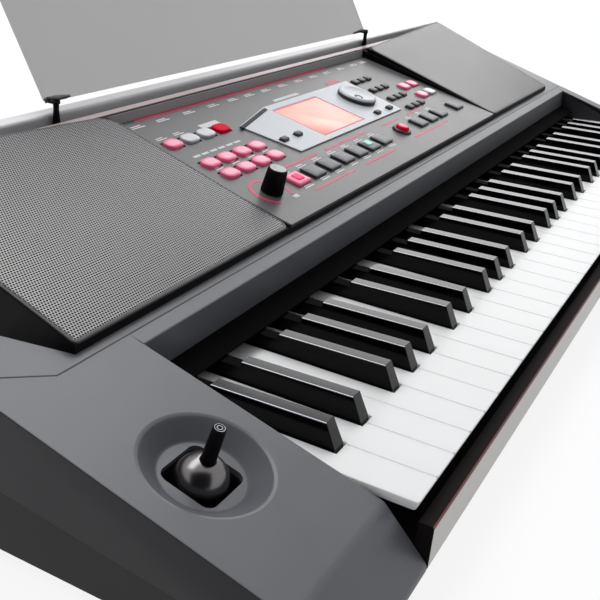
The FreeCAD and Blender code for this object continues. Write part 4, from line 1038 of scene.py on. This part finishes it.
def makeBackTrim():
    s = trimSizes
    low = s["stripZ"] - s["sunk"]
    high = s["stripZ"] + s["sheet"]
    strip = [(s["stripFront"], low), (s["stripFront"], high), (s["stripBack"], high), (s["stripBack"], low)]
    # the strip's rose is a painted reflection
    addFacing("backReflectionStrip", strip, -s["stripHalf"], s["stripHalf"], "stripPaintedReflection", "panel")
    front = s["wallY"] - s["sheet"]
    back = s["wallY"] + s["sunk"]
    wall = [(front, s["wallLow"]), (front, s["wallTop"]), (back, s["wallTop"]), (back, s["wallLow"])]
    # the grey facing paints light onto the back wall, which sits in shadow
    addFacing("wallLightSheet", wall, -s["wallHalf"], s["wallHalf"], "wallPaintedLight", "panel")
    middle = (s["rimFront"] + s["rimRound"], s["rimTop"] - s["rimRound"])
    bends = [math.radians(180 - 90 * i / s["rimSteps"]) for i in range(s["rimSteps"] + 1)]
    outer = s["rimRound"] + s["sheet"]
    inner = s["rimRound"] - s["sunk"]
    rim = [(s["rimFront"] - s["sheet"], s["rimLow"])]
    rim += [(middle[0] + outer * math.cos(a), middle[1] + outer * math.sin(a)) for a in bends]
    rim += [(s["rimBack"], s["rimTop"] + s["sheet"]), (s["rimBack"], s["rimTop"] - s["sunk"])]
    rim += [(middle[0] + inner * math.cos(a), middle[1] + inner * math.sin(a)) for a in bends[::-1]]
    rim.append((s["rimFront"] + s["sunk"], s["rimLow"]))
    # the rim's pale facing is painted sheen
    addFacing("rimSheenSheet", rim, -s["rimHalf"], s["rimHalf"], "rimPaintedSheen", "case_top")


makeBackTrim()
print("back trim made")

# Music stand: a smoky sheet on two pegs
standSizes = {
    "width": 506.0, "height": 190.0, "sheet": 3.0, "lean": math.radians(30), "y": 166.0, "z": 142.8,
    "corner": 3.0, "pegX": 248.0, "pegY": 162.5, "peg": 3.2, "tip": 2.8, "grooveZ": 121.0, "waist": 1.9,
    "pegTop": 2.5, "pegSteps": 24, "neckWide": 5.0, "neckRound": 1.5, "neckFront": 2.4, "neckBack": 171.0,
    "neckHalf": 1.2, "clipOut": 3.0, "clipIn": 18.0, "clipLow": 1.6, "clipHigh": 3.2, "clipProud": 0.5,
}


def smokySheet():
    finish, nodes, links, shader = finishNodes("smokySheet")
    cloud = cloudedColour(nodes, links, shader, 9, (0.13, 0.115, 0.125), (0.17, 0.155, 0.165))
    links.new(spread(nodes, links, cloud, 0.12, 0.2), shader.inputs["Roughness"])
    shader.inputs["Alpha"].default_value = 0.46
    return finish


def onSheet(x, up, away):  # a spot on the leaning sheet, measured from the middle of its lower edge
    s = standSizes
    y = s["y"] + up * math.sin(s["lean"]) + away * math.cos(s["lean"])
    z = s["z"] + up * math.cos(s["lean"]) - away * math.sin(s["lean"])
    return Vector((x, y, z))


def addStandFoot(bm, sign):  # peg, neck and clip at one end
    s = standSizes
    x = sign * s["pegX"]
    top = s["z"] + s["pegTop"] - s["grooveZ"]
    peg = [
        (s["tip"] - 0.5, -8.0), (s["tip"], -7.5), (s["tip"], 0.0), (s["peg"], 0.0), (s["peg"], 3.0),
        (s["peg"] - 0.8, top * 0.45), (s["waist"], top * 0.7), (s["waist"] + 0.2, top * 0.9),
        (s["waist"] + 0.7, top),
    ]
    rings = []
    for r, up in peg:
        circle = circleOf(r, s["pegSteps"])
        rings.append([(x + px, s["pegY"] + py, s["grooveZ"] + up) for px, py in circle])
    addLoft(bm, rings, finish=1)
    middle = (s["pegY"] - s["neckFront"] + s["neckBack"]) / 2
    neck = roundedRect(s["neckWide"], s["neckBack"] - s["pegY"] + s["neckFront"], s["neckRound"])
    heights = (-s["neckHalf"], s["neckHalf"])
    addLoft(bm, [[(px + x, py + middle, s["z"] + up) for px, py in neck] for up in heights], finish=1)
    outer = x + sign * s["clipOut"]
    inner = x - sign * s["clipIn"]
    bend = x - sign * s["clipIn"] * 0.2
    clip = [(outer, 0.0), (inner, 0.0), (inner, s["clipLow"]), (bend, s["clipHigh"]), (outer, s["clipHigh"])]
    faces = (-s["clipProud"], s["sheet"] + s["clipProud"])
    addLoft(bm, [[onSheet(px, up, away) for px, up in clip] for away in faces], finish=2)


def makeStand():
    s = standSizes
    bm = bmesh.new()
    edge = [(0.5, 0.0), (0.1, 0.25), (0.0, 0.7)]  # how the sheet's edge is rounded
    edge += [(inset, s["sheet"] - away) for inset, away in edge[::-1]]
    rings = []
    for inset, away in edge:
        outline = roundedRect(s["width"] - 2 * inset, s["height"] - 2 * inset, s["corner"])
        rings.append([onSheet(px, py + s["height"] / 2, away) for px, py in outline])
    addLoft(bm, rings)
    for sign in (-1, 1):
        addStandFoot(bm, sign)
    finishes["smokySheet"] = smokySheet()
    looks = ["smokySheet", "stickBlack", "clipGreyAndRimShade"]
    piece = addPiece("musicStand", bm, looks, "stand", "music_stand", "music_stand")
    evenShade(piece)


makeStand()
print("music stand made")

# Camera, floor and light, in metres
viewSizes = {
    "place": (-0.7163, -0.2624, 0.2925), "right": (0.4743, -0.8764, 0.0835), "up": (0.3309, 0.2654, 0.9056),
    "lens": 55.33, "sensor": 36.0, "nearest": 0.01, "floor": 6.0, "floorWhite": 0.88,
    "card": (-1.26, -0.6, 0.75), "cardSize": (1.1, 0.8), "lampAim": (0, 0, 0.05),
    "room": (0.95, 0.97, 1.0), "roomBright": (0.55, 0.4, 0.73), "roomLow": 0.08, "roomHigh": 0.55,
}
lampSizes = {  # place, size and power
    "backKey": ((0.3, 1.05, 2.4), (3.4, 1.2), 53),
    "farSheen": ((3.0, 1.0, 1.3), (1.7, 1.3), 15),
}


def seenDirectly(nodes, links):  # 1 where the camera, a mirror or a glass looks, 0 for the soft light
    path = nodes.new("ShaderNodeLightPath")
    seen = path.outputs["Is Camera Ray"]
    for name in ("Is Glossy Ray", "Is Transmission Ray"):
        either = nodes.new("ShaderNodeMath")
        either.operation = "MAXIMUM"
        links.new(seen, either.inputs[0])
        links.new(path.outputs[name], either.inputs[1])
        seen = either.outputs[0]
    return seen


def mixShaders(nodes, links, share, plain, white, output):
    mix = nodes.new("ShaderNodeMixShader")
    links.new(share, mix.inputs[0])
    links.new(plain.outputs[0], mix.inputs[1])
    links.new(white.outputs[0], mix.inputs[2])
    links.new(mix.outputs[0], nodes[output].inputs["Surface"])


def makeCamera():
    s = viewSizes
    lens = bpy.data.cameras.new("camera")
    lens.lens = s["lens"]
    lens.sensor_width = s["sensor"]
    lens.clip_start = s["nearest"]
    holder = bpy.data.objects.new("camera", lens)
    right = Vector(s["right"]).normalized()
    up = Vector(s["up"])
    up = (up - right * up.dot(right)).normalized()
    back = right.cross(up)
    turn = Matrix((right, up, back)).transposed().to_4x4()
    holder.matrix_world = Matrix.Translation(s["place"]) @ turn
    scene.collection.objects.link(holder)
    scene.camera = holder


def flatSheet(name, wide, high, finish):
    mesh = bpy.data.meshes.new(name)
    corners = [(-wide, -high, 0), (wide, -high, 0), (wide, high, 0), (-wide, high, 0)]
    mesh.from_pydata(corners, [], [(0, 1, 2, 3)])
    mesh.materials.append(finish)
    return bpy.data.objects.new(name, mesh)


def aimedAt(place, target):
    aim = (Vector(target) - Vector(place)).to_track_quat("-Z", "Y")
    return Matrix.Translation(place) @ aim.to_matrix().to_4x4()


def makeFloor():
    s = viewSizes
    finish, nodes, links, shader = finishNodes("floorPale")
    cloudedColour(nodes, links, shader, 3, (0.95, 0.95, 0.95), (0.97, 0.97, 0.97))
    shader.inputs["Roughness"].default_value = 0.7
    white = nodes.new("ShaderNodeEmission")  # the floor is seen nearly white, with a light shadow left on it
    white.inputs["Strength"].default_value = 1.0
    share = spread(nodes, links, seenDirectly(nodes, links), 0, s["floorWhite"])
    mixShaders(nodes, links, share, shader, white, "Material Output")
    floor = flatSheet("floor", s["floor"], s["floor"], finish)
    scene.collection.objects.link(floor)


def makeCard():  # keeps the gloss that faces the viewer deep and dark
    s = viewSizes
    finish, nodes, links, shader = finishNodes("cardBlack")
    cloudedColour(nodes, links, shader, 4, (0.01, 0.01, 0.01), (0.014, 0.014, 0.014))
    shader.inputs["Roughness"].default_value = 0.9
    card = flatSheet("darkCard", *s["cardSize"], finish)
    card.matrix_world = aimedAt(s["card"], stickSpot * metres)
    card.visible_camera = False
    card.visible_diffuse = False
    card.visible_shadow = False
    card.visible_transmission = False
    scene.collection.objects.link(card)


def makeLamp(name, place, size, power):
    lamp = bpy.data.lights.new(name, "AREA")
    lamp.shape = "RECTANGLE"
    lamp.size, lamp.size_y = size
    lamp.energy = power
    holder = bpy.data.objects.new(name, lamp)
    holder.matrix_world = aimedAt(place, viewSizes["lampAim"])
    scene.collection.objects.link(holder)


def makeWorld():
    s = viewSizes
    world = bpy.data.worlds.new("studio")
    scene.world = world
    world.use_nodes = True
    nodes = world.node_tree.nodes
    links = world.node_tree.links
    soft = nodes["Background"]
    soft.inputs["Color"].default_value = (*s["room"], 1)
    around = nodes.new("ShaderNodeTexCoord").outputs["Generated"]
    facing = nodes.new("ShaderNodeVectorMath")  # the room is brighter behind and above the keyboard
    facing.operation = "DOT_PRODUCT"
    facing.inputs[1].default_value = s["roomBright"]
    links.new(around, facing.inputs[0])
    strength = spread(nodes, links, facing.outputs["Value"], s["roomLow"], s["roomHigh"], -0.5, 0.8)
    links.new(strength, soft.inputs["Strength"])
    white = nodes.new("ShaderNodeBackground")
    white.inputs["Color"].default_value = (1, 1, 1, 1)
    white.inputs["Strength"].default_value = 1.0
    mixShaders(nodes, links, seenDirectly(nodes, links), soft, white, "World Output")


makeCamera()
makeFloor()
makeCard()
for lampName, (lampPlace, lampSize, lampPower) in lampSizes.items():
    makeLamp(lampName, lampPlace, lampSize, lampPower)
makeWorld()
scene.view_settings.view_transform = "Standard"
print("camera, floor and light set")
